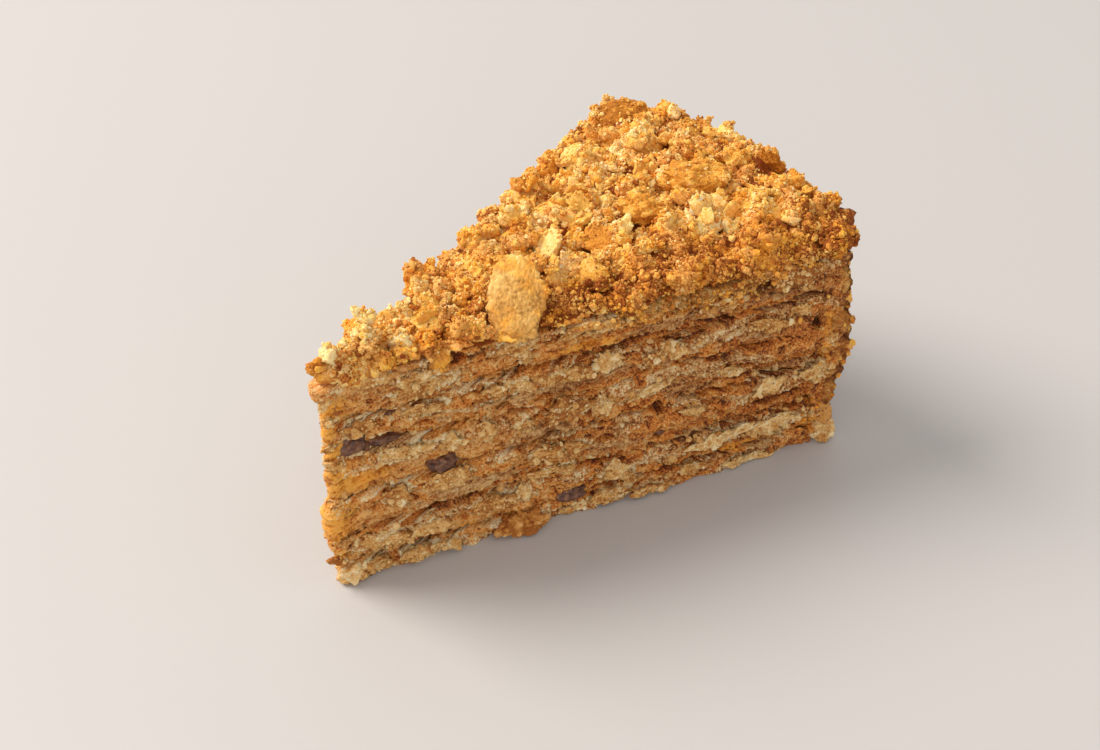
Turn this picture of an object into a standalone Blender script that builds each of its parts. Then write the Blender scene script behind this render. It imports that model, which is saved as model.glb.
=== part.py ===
"""A slice of layered pastry cake: six flaky pastry sheets with caramel cream between them,
a coat of cream and crumbs round the rim, and a heap of baked crumbs and broken flakes on top.

Sizes are in millimetres, and the meshes are turned into metres when they are finished. While it is
modelled the slice has its tip at the start of +X, its middle plane on X-Z and its near cut towards -Y.
An empty then carries every piece, so that the origin is under the middle of the slice's box.
"""

import math
import random
from collections import namedtuple

import bmesh
import bpy
from mathutils import Matrix, Vector, noise

METRES = 0.001
GAP = 0.3

# The whole cake's circle and the wedge cut from it
HALF_ANGLE = math.radians(18.85)
SHEET_RADIUS = 119.0
CRUMB_RADIUS = 126.0
BLUNT_TIP = 1.6

# The sheet that every layer starts from: how many rows of triangles from the tip to the rim
ROWS = 24
SHEET_WALL_STEPS = 3
CREAM_WALL_STEPS = 2

# Thicknesses, from the plate upwards
PASTRY_THICKNESS = {6: 4.3, 5: 4.9, 4: 4.6, 3: 5.6, 2: 5.2, 1: 3.6}
CREAM_THICKNESS = {5: 3.4, 4: 6.0, 3: 5.0, 2: 3.8, 1: 6.2}

# How the layers run up and down at the cut, and how ragged the cut is
WAVE_HEIGHT = 1.7
WAVE_LENGTH = 27.0
WAVE_STARTS = (4.0, 24.0)
WAVE_ENDS = (106.0, 117.0)
BORDER_SPACING = 5.37
CRAG_LENGTH = (6.5, 2.6)
CRAG_ENDS = (112.0, SHEET_RADIUS)
LAYER_SPACING = 3.1
PASTRY_STANDS_OUT = 0.5
PASTRY_CRAG = 1.7
CREAM_STANDS_OUT = -0.7
CREAM_CRAG = 1.3

# Pastry that breaks out of the near cut as a lip: sheet, where along the cut, and how far out
LIPS = ((1, 42.0, 70.0, 1.5), (2, 72.0, 90.0, 1.2), (3, 10.0, 30.0, 1.0), (4, 96.0, 110.0, 1.2),
        (5, 6.0, 26.0, 1.0), (6, 70.0, 100.0, 0.9))
LIP_EASE = 6.0
LIP_ROOT = 0.3

# Nut pieces in the creams at the near cut: cream, place along the cut and length, and for all of
# them the depth and the share of the cream's thickness that they fill
NUTS = ((2, 7.0, 6.0), (3, 25.0, 6.5), (5, 55.0, 8.0), (4, 79.0, 5.0))
NUT_DEPTH = 3.4
NUT_HEIGHT = 0.6

# The crumb heap on top
HEAP_BASE = 56.6
HEAP_RISE = 4.2
HEAP_RISE_RUN = (35.0, 108.0)
HUMP_HEIGHT = 2.4
HUMP_ANGLE = math.radians(7.0)
HUMP_WIDTH = math.radians(8.5)
HUMP_RUN = (92.0, 116.0)
# How far it falls at each edge, and over what run, and where from the tip that begins
NEAR_BANK = (4.4, 5.5)
FAR_BANK = (1.8, 4.0)
RIM_BANK = (1.6, 3.0)
BANK_STARTS = (0.0, 30.0)
# Its unevenness: height and length of the broad swells and of the fine ones
HEAP_SWELLS = ((2.4, 14.0), (1.4, 5.0))
HEAP_WALL = 5.0
HEAP_WALL_STEPS = 3
HEAP_BULGE = 0.9
HEAP_SHOULDER = 0.9
HEAP_CRAG = 2.2
HEAP_THINNEST = 1.8
LUMP_COUNT = 70
LUMP_RADIUS = (2.0, 4.8)
LUMP_SUNK = 0.3
EDGE_LUMPS = 16
EDGE_LUMP_RADIUS = 2.1
EDGE_LUMP_RUN = (8.0, 122.0)
EDGE_LUMP_HEIGHTS = (54.6, 56.6)
LUMP_SEED = 11
LUMP_TRIES = 14
LUMP_CLEARANCE = 0.9

# The coat round the rim: its profile as radius and height, from its foot to its top
COAT_INNER_RADIUS = SHEET_RADIUS + GAP
COAT_PROFILE = ((121.8, 0.0), (123.6, 5.5), (124.8, 11.0), (125.6, 16.5), (127.8, 22.0), (128.2, 28.0),
                (127.6, 34.5), (126.8, 41.5), (126.2, 47.0), (126.3, 51.6))
COAT_CRAG = 2.4
COAT_TOP_REACH = 0.4
COAT_LUMPS = 26
COAT_LUMP_RADIUS = (2.2, 3.8)
COAT_LUMP_SUNK = 0.5
COAT_SEED = 5

# Pieces of topping as large as berries: centre, half sizes (length, width, thickness), the way the
# length runs and the way the flat side faces
CHUNKS = {
    "topping_flake_front": ((44.9, -9.6, 58.6), (9.3, 6.7, 1.6), (0.53, 0.62, 0.58), (-0.42, -0.42, 0.80)),
    "topping_chunk_middle": ((104.0, -4.8, 61.4), (8.2, 6.0, 4.2), (0.74, -0.67, 0.0), (0.0, -0.2, 1.0)),
    "topping_chunk_yellow": ((87.4, -3.6, 60.2), (5.6, 4.0, 3.0), (0.75, -0.66, 0.0), (0.0, -0.2, 1.0)),
    "topping_chunk_back": ((113.6, 27.4, 61.0), (8.0, 5.6, 4.2), (0.72, -0.69, 0.0), (-0.3, -0.3, 1.0)),
    "topping_chunk_side": ((117.2, -5.2, 62.0), (4.2, 3.4, 2.8), (0.75, -0.66, 0.0), (0.0, 0.0, 1.0)),
    "topping_flake_back": ((122.6, -12.2, 62.0), (4.4, 3.2, 1.1), (-0.36, 0.34, 0.87), (0.70, 0.30, 0.62)),
}
CHUNK_CRAG = 0.32
CHUNK_FLATNESS = 0.7

# Lumps at the foot of the near cut: place along it, in front of it and height, and half sizes
FOOT_LUMPS = {
    "tip": ((3.6, 0.4, 1.7), (3.2, 2.4, 1.8)),
    "cream": ((43.0, 1.2, 1.4), (6.2, 2.8, 1.9)),
    "corner": ((123.2, -0.2, 2.2), (3.5, 2.8, 3.2)),
}
FOOT_CRAG = 0.25

# Where two layers meet: its height before the waves, its number, and how high its waves are
Border = namedtuple("Border", "height number waves")

COLOURS = {
    "pastry": (0.58, 0.40, 0.20, 1.0),
    "cream": (0.45, 0.19, 0.05, 1.0),
    "crumb": (0.62, 0.36, 0.12, 1.0),
    "coat": (0.48, 0.23, 0.07, 1.0),
    "chunk": (0.74, 0.47, 0.17, 1.0),
}
ROUGHNESS = {"pastry": 0.85, "cream": 0.45, "crumb": 0.85, "coat": 0.70, "chunk": 0.75}


def smoothstep(low, high, value):
    t = min(max((value - low) / (high - low), 0.0), 1.0)
    return t * t * (3.0 - 2.0 * t)


def depth_inside(x, y):
    """How far a point lies inside the nearer of the two cuts."""
    return x * math.sin(HALF_ANGLE) - abs(y) * math.cos(HALF_ANGLE)


def cut_direction(side):
    """Along a cut, away from the tip. The near cut is side -1 and the far one is side 1."""
    return Vector((math.cos(HALF_ANGLE), side * math.sin(HALF_ANGLE), 0.0))


def cut_outward(side):
    return Vector((-math.sin(HALF_ANGLE), side * math.cos(HALF_ANGLE), 0.0))


def on_near_cut(along, out, height):
    """A point given by its place along the near cut, its distance in front of it and its height."""
    return cut_direction(-1) * along + cut_outward(-1) * out + Vector((0.0, 0.0, height))


def crag(point, salt):
    """Ragged relief of a cut, about -0.5 to 0.5, stretched along the layers."""
    long, short = CRAG_LENGTH
    return noise.noise(Vector((point.x / long, point.y / long + salt, point.z / short)))


def material(kind):
    found = bpy.data.materials.get(kind)
    if found:
        return found
    made = bpy.data.materials.new(kind)
    made.use_nodes = True
    shader = made.node_tree.nodes["Principled BSDF"]
    shader.inputs["Base Color"].default_value = COLOURS[kind]
    shader.inputs["Roughness"].default_value = ROUGHNESS[kind]
    shader.inputs["Metallic"].default_value = 0.0
    made.diffuse_color = COLOURS[kind]
    return made


def add_object(bm, name, kind):
    bmesh.ops.recalc_face_normals(bm, faces=bm.faces)
    mesh = bpy.data.meshes.new(name)
    bm.to_mesh(mesh)
    bm.free()
    piece = bpy.data.objects.new(name, mesh)
    bpy.context.collection.objects.link(piece)
    mesh.materials.append(material(kind))
    return piece


def nominal_place(row, column, radius):
    """Where a sheet's point lies before its edge is made ragged, and which way is out of the edge."""
    distance = max(radius * row / ROWS, BLUNT_TIP)
    angle = HALF_ANGLE * column / row if row else 0.0
    place = Vector((distance * math.cos(angle), distance * math.sin(angle), 0.0))
    outward = Vector((0.0, 0.0, 0.0))
    if not row:
        outward = Vector((-1.0, 0.0, 0.0))
    elif abs(column) == row:
        outward = cut_outward(math.copysign(1, column))
    return place, outward


def wedge_sheet(steps, full_grid=False):
    """A wedge of `steps` walls' height: a triangle cut into rows and extruded once for each step.

    Its points hold their place between tip and rim (row) and side to side (column), and which wall
    step they are on, so that a layer can shape them. Without the full grid a row is one strip from
    cut to cut, and both caps are cut into the same triangles.
    """
    bm = bmesh.new()
    row = bm.verts.layers.float.new("row")
    column = bm.verts.layers.float.new("column")
    step = bm.verts.layers.int.new("step")
    corners = [bm.verts.new(place) for place in ((0.0, 0.0, 0.0), (1.0, -1.0, 0.0), (1.0, 1.0, 0.0))]
    bm.faces.new(corners)
    if full_grid:
        bmesh.ops.subdivide_edges(bm, edges=bm.edges[:], cuts=ROWS - 1, use_grid_fill=True)
    else:
        for number in range(1, ROWS):
            bmesh.ops.bisect_plane(bm, geom=[*bm.verts, *bm.edges, *bm.faces], dist=1e-6,
                                   plane_co=(number / ROWS, 0.0, 0.0), plane_no=(1.0, 0.0, 0.0))
        rim = [edge for edge in bm.edges if all(vert.co.x > 0.999 for vert in edge.verts)]
        bmesh.ops.subdivide_edges(bm, edges=rim, cuts=ROWS - 1)
    for vert in bm.verts:
        vert[row] = round(vert.co.x * ROWS)
        vert[column] = round(vert.co.y / vert.co.x * vert[row]) if vert.co.x > 0.01 else 0.0
    for vert in bm.verts:
        vert.co = nominal_place(vert[row], vert[column], SHEET_RADIUS)[0]
    bmesh.ops.triangulate(bm, faces=bm.faces[:], quad_method="BEAUTY", ngon_method="BEAUTY")
    lifted = [*bm.verts, *bm.edges, *bm.faces]
    for number in range(1, steps + 1):
        lifted = bmesh.ops.extrude_face_region(bm, geom=lifted)["geom"]
        for item in lifted:
            if isinstance(item, bmesh.types.BMVert):
                item[step] = number
    return bm


def border_height(border, place):
    """Height of the border between two layers, wavy along the cuts, where `place` is not yet ragged."""
    fade = smoothstep(*WAVE_STARTS, place.length) * (1.0 - smoothstep(*WAVE_ENDS, place.length))
    where = Vector((place.x / WAVE_LENGTH, place.y / WAVE_LENGTH, border.number * BORDER_SPACING))
    return border.height + border.waves * fade * noise.noise(where)


def lip(sheet, place, fraction):
    """Extra reach of a pastry sheet where it breaks out of the near cut, greatest at its top."""
    out = 0.0
    if place.y >= 0.0:
        return out
    along = place.dot(cut_direction(-1))
    for number, start, end, reach in LIPS:
        if number == sheet:
            inside = smoothstep(start - LIP_EASE, start, along)
            inside *= 1.0 - smoothstep(end, end + LIP_EASE, along)
            out += reach * inside * (LIP_ROOT + (1.0 - LIP_ROOT) * fraction)
    return out


def layer(name, kind, number, bottom, top, steps, stands_out, ragged):
    """One sheet or one cream, from the border under it to the border over it."""
    bm = wedge_sheet(steps)
    row = bm.verts.layers.float["row"]
    column = bm.verts.layers.float["column"]
    step = bm.verts.layers.int["step"]
    for vert in bm.verts:
        place, outward = nominal_place(vert[row], vert[column], SHEET_RADIUS)
        fraction = vert[step] / steps
        middle = place + Vector((0.0, 0.0, bottom.height + (top.height - bottom.height) * fraction))
        out = stands_out + ragged * crag(middle, number * LAYER_SPACING)
        if kind == "pastry":
            out += lip(number, place, fraction)
        out *= 1.0 - smoothstep(*CRAG_ENDS, place.length)
        spot = place + outward * out
        low = border_height(bottom, place) + (GAP / 2 if bottom.height > 0.0 else 0.0)
        high = border_height(top, place) - GAP / 2
        vert.co = (spot.x, spot.y, low + (high - low) * fraction)
    return add_object(bm, name, kind)


def heap_height(place):
    """Top of the crumb heap before its lumps: it rises to the rim and falls off in a bank at each edge."""
    distance = place.length
    angle = math.atan2(place.y, place.x)
    height = HEAP_BASE + HEAP_RISE * smoothstep(*HEAP_RISE_RUN, distance)
    hump = math.exp(-((angle - HUMP_ANGLE) / HUMP_WIDTH) ** 2)
    height += HUMP_HEIGHT * hump * smoothstep(*HUMP_RUN, distance)
    depth = max(depth_inside(place.x, place.y), 0.0)
    drop, run = NEAR_BANK if place.y < 0.0 else FAR_BANK
    drop *= smoothstep(*BANK_STARTS, distance)
    height -= drop * math.exp(-depth / run)
    rim_drop, rim_run = RIM_BANK
    height -= rim_drop * math.exp(-max(CRUMB_RADIUS - distance, 0.0) / rim_run)
    return height + sum(size * noise.noise(place / length) for size, length in HEAP_SWELLS)


def heap(border):
    """The crumbs and the cream that holds them, with a flat foot on the top sheet and the coat."""
    bm = wedge_sheet(HEAP_WALL_STEPS, full_grid=True)
    row = bm.verts.layers.float["row"]
    column = bm.verts.layers.float["column"]
    step = bm.verts.layers.int["step"]
    foot = [face for face in bm.faces if all(vert[step] == 0 for vert in face.verts)]
    bmesh.ops.dissolve_faces(bm, faces=foot, use_verts=False)
    for vert in bm.verts:
        place, outward = nominal_place(vert[row], vert[column], CRUMB_RADIUS)
        fraction = vert[step] / HEAP_WALL_STEPS
        if vert[row] == ROWS:
            outward = (outward + place.normalized()).normalized()
        level = Vector((0.0, 0.0, border.height + HEAP_WALL * fraction))
        out = HEAP_BULGE * math.sin(math.pi * fraction) - HEAP_SHOULDER * smoothstep(0.6, 1.0, fraction)
        spot = place + outward * (out + HEAP_CRAG * crag(place + level, 40.0))
        low = border.height + GAP / 2
        high = max(heap_height(place), border.height + HEAP_THINNEST)
        vert.co = (spot.x, spot.y, low + (high - low) * fraction)
    return add_object(bm, "crumb_topping", "crumb")


def lump(centre, radius, lowest, rng):
    """A crumb: a ball of twenty faces, knocked out of shape and cut level where it lies on a sheet."""
    bm = bmesh.new()
    bmesh.ops.create_icosphere(bm, subdivisions=1, radius=radius)
    for vert in bm.verts:
        vert.co *= rng.uniform(0.78, 1.18)
        vert.co.z *= 0.85
    turn = Matrix.Rotation(rng.uniform(0.0, math.tau), 4, "Z") @ Matrix.Rotation(rng.uniform(0.0, 1.0), 4, "X")
    bm.transform(Matrix.Translation(centre) @ turn)
    for vert in bm.verts:
        vert.co.z = max(vert.co.z, lowest)
    return add_object(bm, "lump", "crumb")


def chunk_shape(half_sizes, salt, swell=0.0):
    """A broken flake or a cluster of crumbs: a squashed ball with an uneven skin."""
    bm = bmesh.new()
    bmesh.ops.create_icosphere(bm, subdivisions=2, radius=1.0)
    for vert in bm.verts:
        grown = vert.co * (1.0 + CHUNK_CRAG * noise.noise(vert.co * 1.9 + Vector((salt, 0.0, 0.0))))
        grown.z = math.copysign(abs(grown.z) ** CHUNK_FLATNESS, grown.z)
        vert.co = Vector((grown.x * half_sizes[0], grown.y * half_sizes[1], grown.z * half_sizes[2]))
    bm.normal_update()
    if swell:
        pushed = [vert.co + vert.normal * swell for vert in bm.verts]
        for vert, place in zip(bm.verts, pushed):
            vert.co = place
    return bm


def chunk_turn(centre, length_way, face_way):
    """Turns a chunk so that its length and its flat side lie as given, and puts it at its centre."""
    along = Vector(length_way).normalized()
    across = Vector(face_way).normalized().cross(along).normalized()
    up = along.cross(across)
    turn = Matrix((along, across, up)).transposed().to_4x4()
    return Matrix.Translation(centre) @ turn


def chunk(name, kind="chunk", swell=0.0):
    centre, half_sizes, length_way, face_way = CHUNKS[name]
    bm = chunk_shape(half_sizes, centre[0], swell)
    bm.transform(chunk_turn(centre, length_way, face_way))
    return add_object(bm, name if not swell else "socket", kind)


def keep_largest_body(piece):
    """Drops the scraps that a Boolean leaves beside the main body."""
    bm = bmesh.new()
    bm.from_mesh(piece.data)
    bodies = []
    waiting = set(bm.verts)
    while waiting:
        body = [waiting.pop()]
        for vert in body:
            for edge in vert.link_edges:
                other = edge.other_vert(vert)
                if other in waiting:
                    waiting.remove(other)
                    body.append(other)
        bodies.append(body)
    bodies.sort(key=len)
    for body in bodies[:-1]:
        bmesh.ops.delete(bm, geom=body, context="VERTS")
    bmesh.ops.triangulate(bm, faces=bm.faces)
    bm.to_mesh(piece.data)
    bm.free()


def combine(piece, others, operation):
    """Joins other objects to a piece, or cuts them out of it, and removes them."""
    tools = bpy.data.collections.new("tools")
    for other in others:
        tools.objects.link(other)
    modifier = piece.modifiers.new("combine", "BOOLEAN")
    modifier.operation = operation
    modifier.operand_type = "COLLECTION"
    modifier.collection = tools
    modifier.solver = "EXACT"
    result = bpy.data.meshes.new_from_object(piece.evaluated_get(bpy.context.evaluated_depsgraph_get()))
    piece.modifiers.remove(modifier)
    plain = piece.data
    name = plain.name
    piece.data = result
    bpy.data.meshes.remove(plain)
    result.name = name
    for other in others:
        bpy.data.objects.remove(other)
    bpy.data.collections.remove(tools)
    keep_largest_body(piece)


def scattered_lumps(lowest):
    """Crumbs over the heap, the largest first, each as far from the others as a few tries allow,
    and more of them along the near edge, where they roll over it.
    """
    rng = random.Random(LUMP_SEED)
    small, large = LUMP_RADIUS
    taken = [Vector(values[0]).xy for values in CHUNKS.values()]
    lumps = []
    for number in range(LUMP_COUNT):
        radius = large - (large - small) * (number / LUMP_COUNT) ** 0.4
        best = None
        for _ in range(LUMP_TRIES):
            distance = CRUMB_RADIUS * math.sqrt(rng.uniform(0.002, 0.98))
            angle = HALF_ANGLE * rng.uniform(-0.97, 0.97)
            spot = Vector((distance * math.cos(angle), distance * math.sin(angle)))
            room = min((spot - other).length for other in taken)
            if best is None or room > best[0]:
                best = (room, spot)
        taken.append(best[1])
        place = best[1].to_3d()
        place.z = heap_height(place) - LUMP_SUNK * radius
        lumps.append(lump(place, radius, lowest, rng))
    start, end = EDGE_LUMP_RUN
    for number in range(EDGE_LUMPS):
        along = start + (end - start) * (number + rng.uniform(0.2, 0.8)) / EDGE_LUMPS
        place = on_near_cut(along, rng.uniform(-0.6, 0.5), rng.uniform(*EDGE_LUMP_HEIGHTS))
        lumps.append(lump(place, EDGE_LUMP_RADIUS * rng.uniform(0.8, 1.3), lowest, rng))
    return lumps


def rim_coat(top):
    """The coat round the rim: its section is drawn at the near cut and spun round to the far one."""
    bm = bmesh.new()
    profile = [*COAT_PROFILE, (COAT_INNER_RADIUS, top - GAP / 2), (COAT_INNER_RADIUS, 0.0)]
    profile[len(COAT_PROFILE) - 1] = (COAT_PROFILE[-1][0], top - GAP / 2)
    start = cut_direction(-1)
    verts = [bm.verts.new(start * radius + Vector((0.0, 0.0, height))) for radius, height in profile]
    section = bm.faces.new(verts)
    bmesh.ops.spin(bm, geom=[section], cent=(0.0, 0.0, 0.0), axis=(0.0, 0.0, 1.0), steps=ROWS,
                   angle=2.0 * HALF_ANGLE, use_duplicate=False)
    for vert in bm.verts:
        radius = vert.co.xy.length
        if radius > COAT_INNER_RADIUS + 0.1:
            out = COAT_CRAG * crag(vert.co, 90.0)
            if vert.co.z > top - 1.0:
                out = min(out, COAT_TOP_REACH)
            vert.co += vert.co.xy.normalized().to_3d() * out
            if abs(abs(math.atan2(vert.co.y, vert.co.x)) - HALF_ANGLE) < 0.001:
                vert.co += cut_outward(math.copysign(1, vert.co.y)) * crag(vert.co, 95.0)
    return add_object(bm, "rim_coat", "coat")


def coat_lumps(top):
    """Crumbs pressed into the coat, all round it and from its foot to its top."""
    rng = random.Random(COAT_SEED)
    small, large = COAT_LUMP_RADIUS
    radii = [radius for radius, height in COAT_PROFILE]
    heights = [height for radius, height in COAT_PROFILE]
    lumps = []
    for number in range(COAT_LUMPS):
        radius = rng.uniform(small, large)
        angle = HALF_ANGLE * (2.0 * (number + 0.5) / COAT_LUMPS - 1.0)
        height = large + (top - 2.0 * large) * ((number * 0.382 + 0.1) % 1.0)
        nearest = min(range(len(heights)), key=lambda index: abs(heights[index] - height))
        distance = radii[nearest] - COAT_LUMP_SUNK * radius
        centre = Vector((distance * math.cos(angle), distance * math.sin(angle), height))
        lumps.append(lump(centre, radius, 0.0, rng))
    return lumps


def foot_lump(where, half_sizes, kind):
    """A lump squeezed out at the foot of the near cut, flat where it rests."""
    place = on_near_cut(*where)
    bm = bmesh.new()
    bmesh.ops.create_icosphere(bm, subdivisions=2, radius=1.0)
    for vert in bm.verts:
        grown = vert.co * (1.0 + FOOT_CRAG * noise.noise(vert.co * 1.7 + place))
        vert.co = Vector((grown.x * half_sizes[0], grown.y * half_sizes[1], grown.z * half_sizes[2]))
    bm.transform(Matrix.Translation(place) @ Matrix.Rotation(-HALF_ANGLE, 4, "Z"))
    for vert in bm.verts:
        vert.co.z = max(vert.co.z, 0.0)
    bmesh.ops.dissolve_degenerate(bm, dist=0.01, edges=bm.edges)
    return add_object(bm, "foot_lump", kind)


def nut(along, length, bottom, top):
    """A nut piece that shows at the near cut, half sunk in the cream and clear of the pastry."""
    place = on_near_cut(along, 0.0, 0.0)
    low = border_height(bottom, place)
    high = border_height(top, place)
    bm = bmesh.new()
    bmesh.ops.create_icosphere(bm, subdivisions=1, radius=1.0)
    bm.transform(Matrix.Diagonal((length / 2, NUT_DEPTH / 2, NUT_HEIGHT / 2 * (high - low), 1.0)))
    centre = on_near_cut(along, -0.2, (low + high) / 2)
    bm.transform(Matrix.Translation(centre) @ Matrix.Rotation(-HALF_ANGLE, 4, "Z"))
    return add_object(bm, "nut", "cream")


def cream_layer(number, bottom, top):
    """A cream with the nut pieces that show at its near cut."""
    piece = layer(f"cream_{number}", "cream", number + 10, bottom, top, CREAM_WALL_STEPS,
                  CREAM_STANDS_OUT, CREAM_CRAG)
    nuts = [nut(along, length, bottom, top) for where, along, length in NUTS if where == number]
    if nuts:
        combine(piece, nuts, "UNION")
    return piece


def build_layers():
    """Stacks the sheets and the creams, and gives the border that the crumb heap lies on."""
    pieces = []
    border = Border(0.0, 0, 0.0)
    for number in range(6, 0, -1):
        waves = WAVE_HEIGHT if number > 1 else 0.0
        over = Border(border.height + PASTRY_THICKNESS[number], 2 * number, waves)
        pieces.append(layer(f"pastry_{number}", "pastry", number, border, over, SHEET_WALL_STEPS,
                            PASTRY_STANDS_OUT, PASTRY_CRAG))
        border = over
        if number > 1:
            cream = number - 1
            over = Border(border.height + CREAM_THICKNESS[cream], 2 * cream + 1, WAVE_HEIGHT)
            pieces.append(cream_layer(cream, border, over))
            border = over
    return pieces, border


def build():
    pieces, top_border = build_layers()

    bottom_sheet = pieces[0]
    tip_crumb = foot_lump(*FOOT_LUMPS["tip"], "pastry")
    cream_lump = foot_lump(*FOOT_LUMPS["cream"], "pastry")
    combine(bottom_sheet, [tip_crumb, cream_lump], "UNION")

    coat = rim_coat(top_border.height)
    corner_crumb = foot_lump(*FOOT_LUMPS["corner"], "coat")
    combine(coat, [corner_crumb, *coat_lumps(top_border.height)], "UNION")
    pieces.append(coat)

    topping = heap(top_border)
    combine(topping, scattered_lumps(top_border.height + LUMP_CLEARANCE), "UNION")
    combine(topping, [chunk(name, "crumb", GAP) for name in CHUNKS], "DIFFERENCE")
    pieces.append(topping)
    pieces += [chunk(name) for name in CHUNKS]

    for piece in pieces:
        piece.data.transform(Matrix.Scale(METRES, 4))
    corners = [vert.co for piece in pieces for vert in piece.data.vertices]
    low = Vector([min(corner[axis] for corner in corners) for axis in range(3)])
    high = Vector([max(corner[axis] for corner in corners) for axis in range(3)])
    middle = (low + high) / 2
    slice_root = bpy.data.objects.new("slice", None)
    bpy.context.collection.objects.link(slice_root)
    slice_root.location = (-middle.x, -middle.y, -low.z)
    for piece in pieces:
        piece.parent = slice_root


for leftover in list(bpy.data.objects):
    bpy.data.objects.remove(leftover)
build()
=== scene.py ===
"""A slice of layered pastry cake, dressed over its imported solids.

Six flaky pastry sheets lie with caramel cream between them. Crumbs and broken flakes cover the top, and
a coat of cream and crumbs goes round the rim.
"""

import math
import random

import bmesh
import bpy
import numpy as np
from mathutils import Matrix, Vector, noise
from mathutils.bvhtree import BVHTree


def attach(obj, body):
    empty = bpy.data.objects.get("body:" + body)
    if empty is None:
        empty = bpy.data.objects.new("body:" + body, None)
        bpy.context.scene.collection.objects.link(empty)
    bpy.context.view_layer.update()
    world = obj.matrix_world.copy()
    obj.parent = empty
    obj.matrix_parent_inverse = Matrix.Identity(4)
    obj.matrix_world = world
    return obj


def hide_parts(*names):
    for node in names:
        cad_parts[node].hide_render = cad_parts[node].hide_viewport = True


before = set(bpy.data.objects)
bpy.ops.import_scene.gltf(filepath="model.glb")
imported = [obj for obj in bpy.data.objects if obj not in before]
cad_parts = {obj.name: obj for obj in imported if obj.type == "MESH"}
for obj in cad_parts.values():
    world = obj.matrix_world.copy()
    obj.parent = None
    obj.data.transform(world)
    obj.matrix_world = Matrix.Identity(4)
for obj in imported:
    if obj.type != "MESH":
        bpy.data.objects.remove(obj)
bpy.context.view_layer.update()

# Pastry sheets and caramel creams. The sheets are puff pastry, baked dry and torn by the knife, and
# the cream is boiled milk caramel with butter, which has soaked into them. Each is one closed piece:
# a fine wall round the cut, closed under and over it by rings that run in to a flat middle.
METRES = 0.001
TIP = Vector((-64.162, 0.384, 0.0))
GAP = 0.3
HALF_ANGLE = math.radians(18.85)
SHEET_RADIUS = 119.0
TIP_CENTRE = 2.4
WEDGE_MIDDLE = Vector((80.0, 0.0, 0.0))
STATION_SPACING = {-1: 0.25, 1: 0.42}
TIP_STEPS = 18
RIM_STEPS = 26
ROW_SPACING = 0.27
RING_SHARES = (1.0, 0.978, 0.92, 0.80)
RING_WAVES = (1.0, 1.0, 0.7, 0.0)
FIELDS = ("bare", "soaked", "glow", "spill", "shade")
BORDER_WAVES = 1.7
TIP_SWELL = 2.6
FLAT_RIM = 118.0

PASTRY_THICKNESS = {6: 4.3, 5: 4.9, 4: 4.6, 3: 5.6, 2: 5.2, 1: 3.6}
CREAM_THICKNESS = {5: 3.4, 4: 6.0, 3: 5.0, 2: 3.8, 1: 6.2}
# Lips of the sheets over the near cut: the sheet, where one starts and ends, and how far it reaches
LIPS = ((1, 42.0, 70.0, 1.5), (2, 72.0, 90.0, 1.2), (3, 10.0, 30.0, 1.0), (4, 96.0, 110.0, 1.2),
        (5, 6.0, 26.0, 1.0), (6, 70.0, 100.0, 0.9))

# Marks of the near cut. Each has its place along the cut and its height, its half length and its half
# height. A pocket ends with its depth and a bulge with its swell.
FLAKES = (
    (12, 51.6, 4.5, 1.3), (21, 49.2, 4, 1.2), (42, 50.7, 4, 1.7), (60, 51.7, 9, 1.2),
    (64, 48.8, 4.5, 1.2), (45, 47.0, 1.3, 2.8), (92, 47.6, 6, 1.6), (111, 50.4, 8.5, 2.7),
    (24, 45.6, 8, 1.9), (8, 40.7, 4, 1.9), (22, 40.6, 5, 1.6), (37, 40.7, 2.2, 1.2), (43, 40.8, 2.6, 1.9),
    (54, 40.3, 5, 2.1), (64, 40.2, 4, 2.1), (74, 39.7, 2.2, 1.9), (80, 39.7, 3.2, 2.1),
    (86, 40.8, 1.8, 1.2), (105, 39.2, 4.5, 1.7), (112, 40.7, 2.4, 1.4), (18, 31.9, 7, 1.7),
    (27, 31.0, 3.2, 2.2), (36, 31.0, 2.8, 2.4), (54, 30.2, 5.8, 2.5), (63, 28.7, 2.3, 2.7),
    (44, 29.3, 2.2, 1.7), (96, 28.0, 3.4, 1.4), (76, 29.6, 5, 1.0), (15, 20.9, 3.3, 2.5),
    (27, 21.0, 5.8, 1.9), (49, 20.5, 4.4, 2.1), (56, 19.8, 3.2, 1.6), (105, 22.6, 4.5, 1.8),
    (118, 22.0, 4.4, 2.7), (86, 21.2, 3, 1.2), (12, 9.9, 5.6, 2.0), (22, 9.2, 4.4, 1.8),
    (36, 10.8, 5.4, 2.0), (44, 10.6, 2.4, 1.7), (53, 13.8, 5.5, 1.3), (66, 9.8, 3.0, 2.8),
    (70, 5.8, 2.2, 2.2), (95, 10.4, 9, 2.0), (110, 10.0, 6.5, 2.3), (81, 6.6, 1.5, 1.2),
    (18, 2.8, 4.5, 1.7), (26, 2.2, 4.5, 1.2), (64, 2.6, 4.8, 1.8), (75, 1.8, 6, 1.3), (56, 1.2, 3.4, 1.1),
    (100, 1.4, 7, 1.1), (87, 3.2, 4, 1.2), (8, 2.0, 4.5, 1.9), (1.4, 43.6, 1.8, 0.9),
    (2.0, 32.6, 2.2, 1.3), (0.8, 37.6, 1.6, 0.9), (2.2, 12.4, 2.0, 1.0), (1.2, 23.0, 1.6, 0.8),
    (0.6, 6.4, 2.0, 1.0), (0.8, 48.4, 1.6, 1.0),
)
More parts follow.
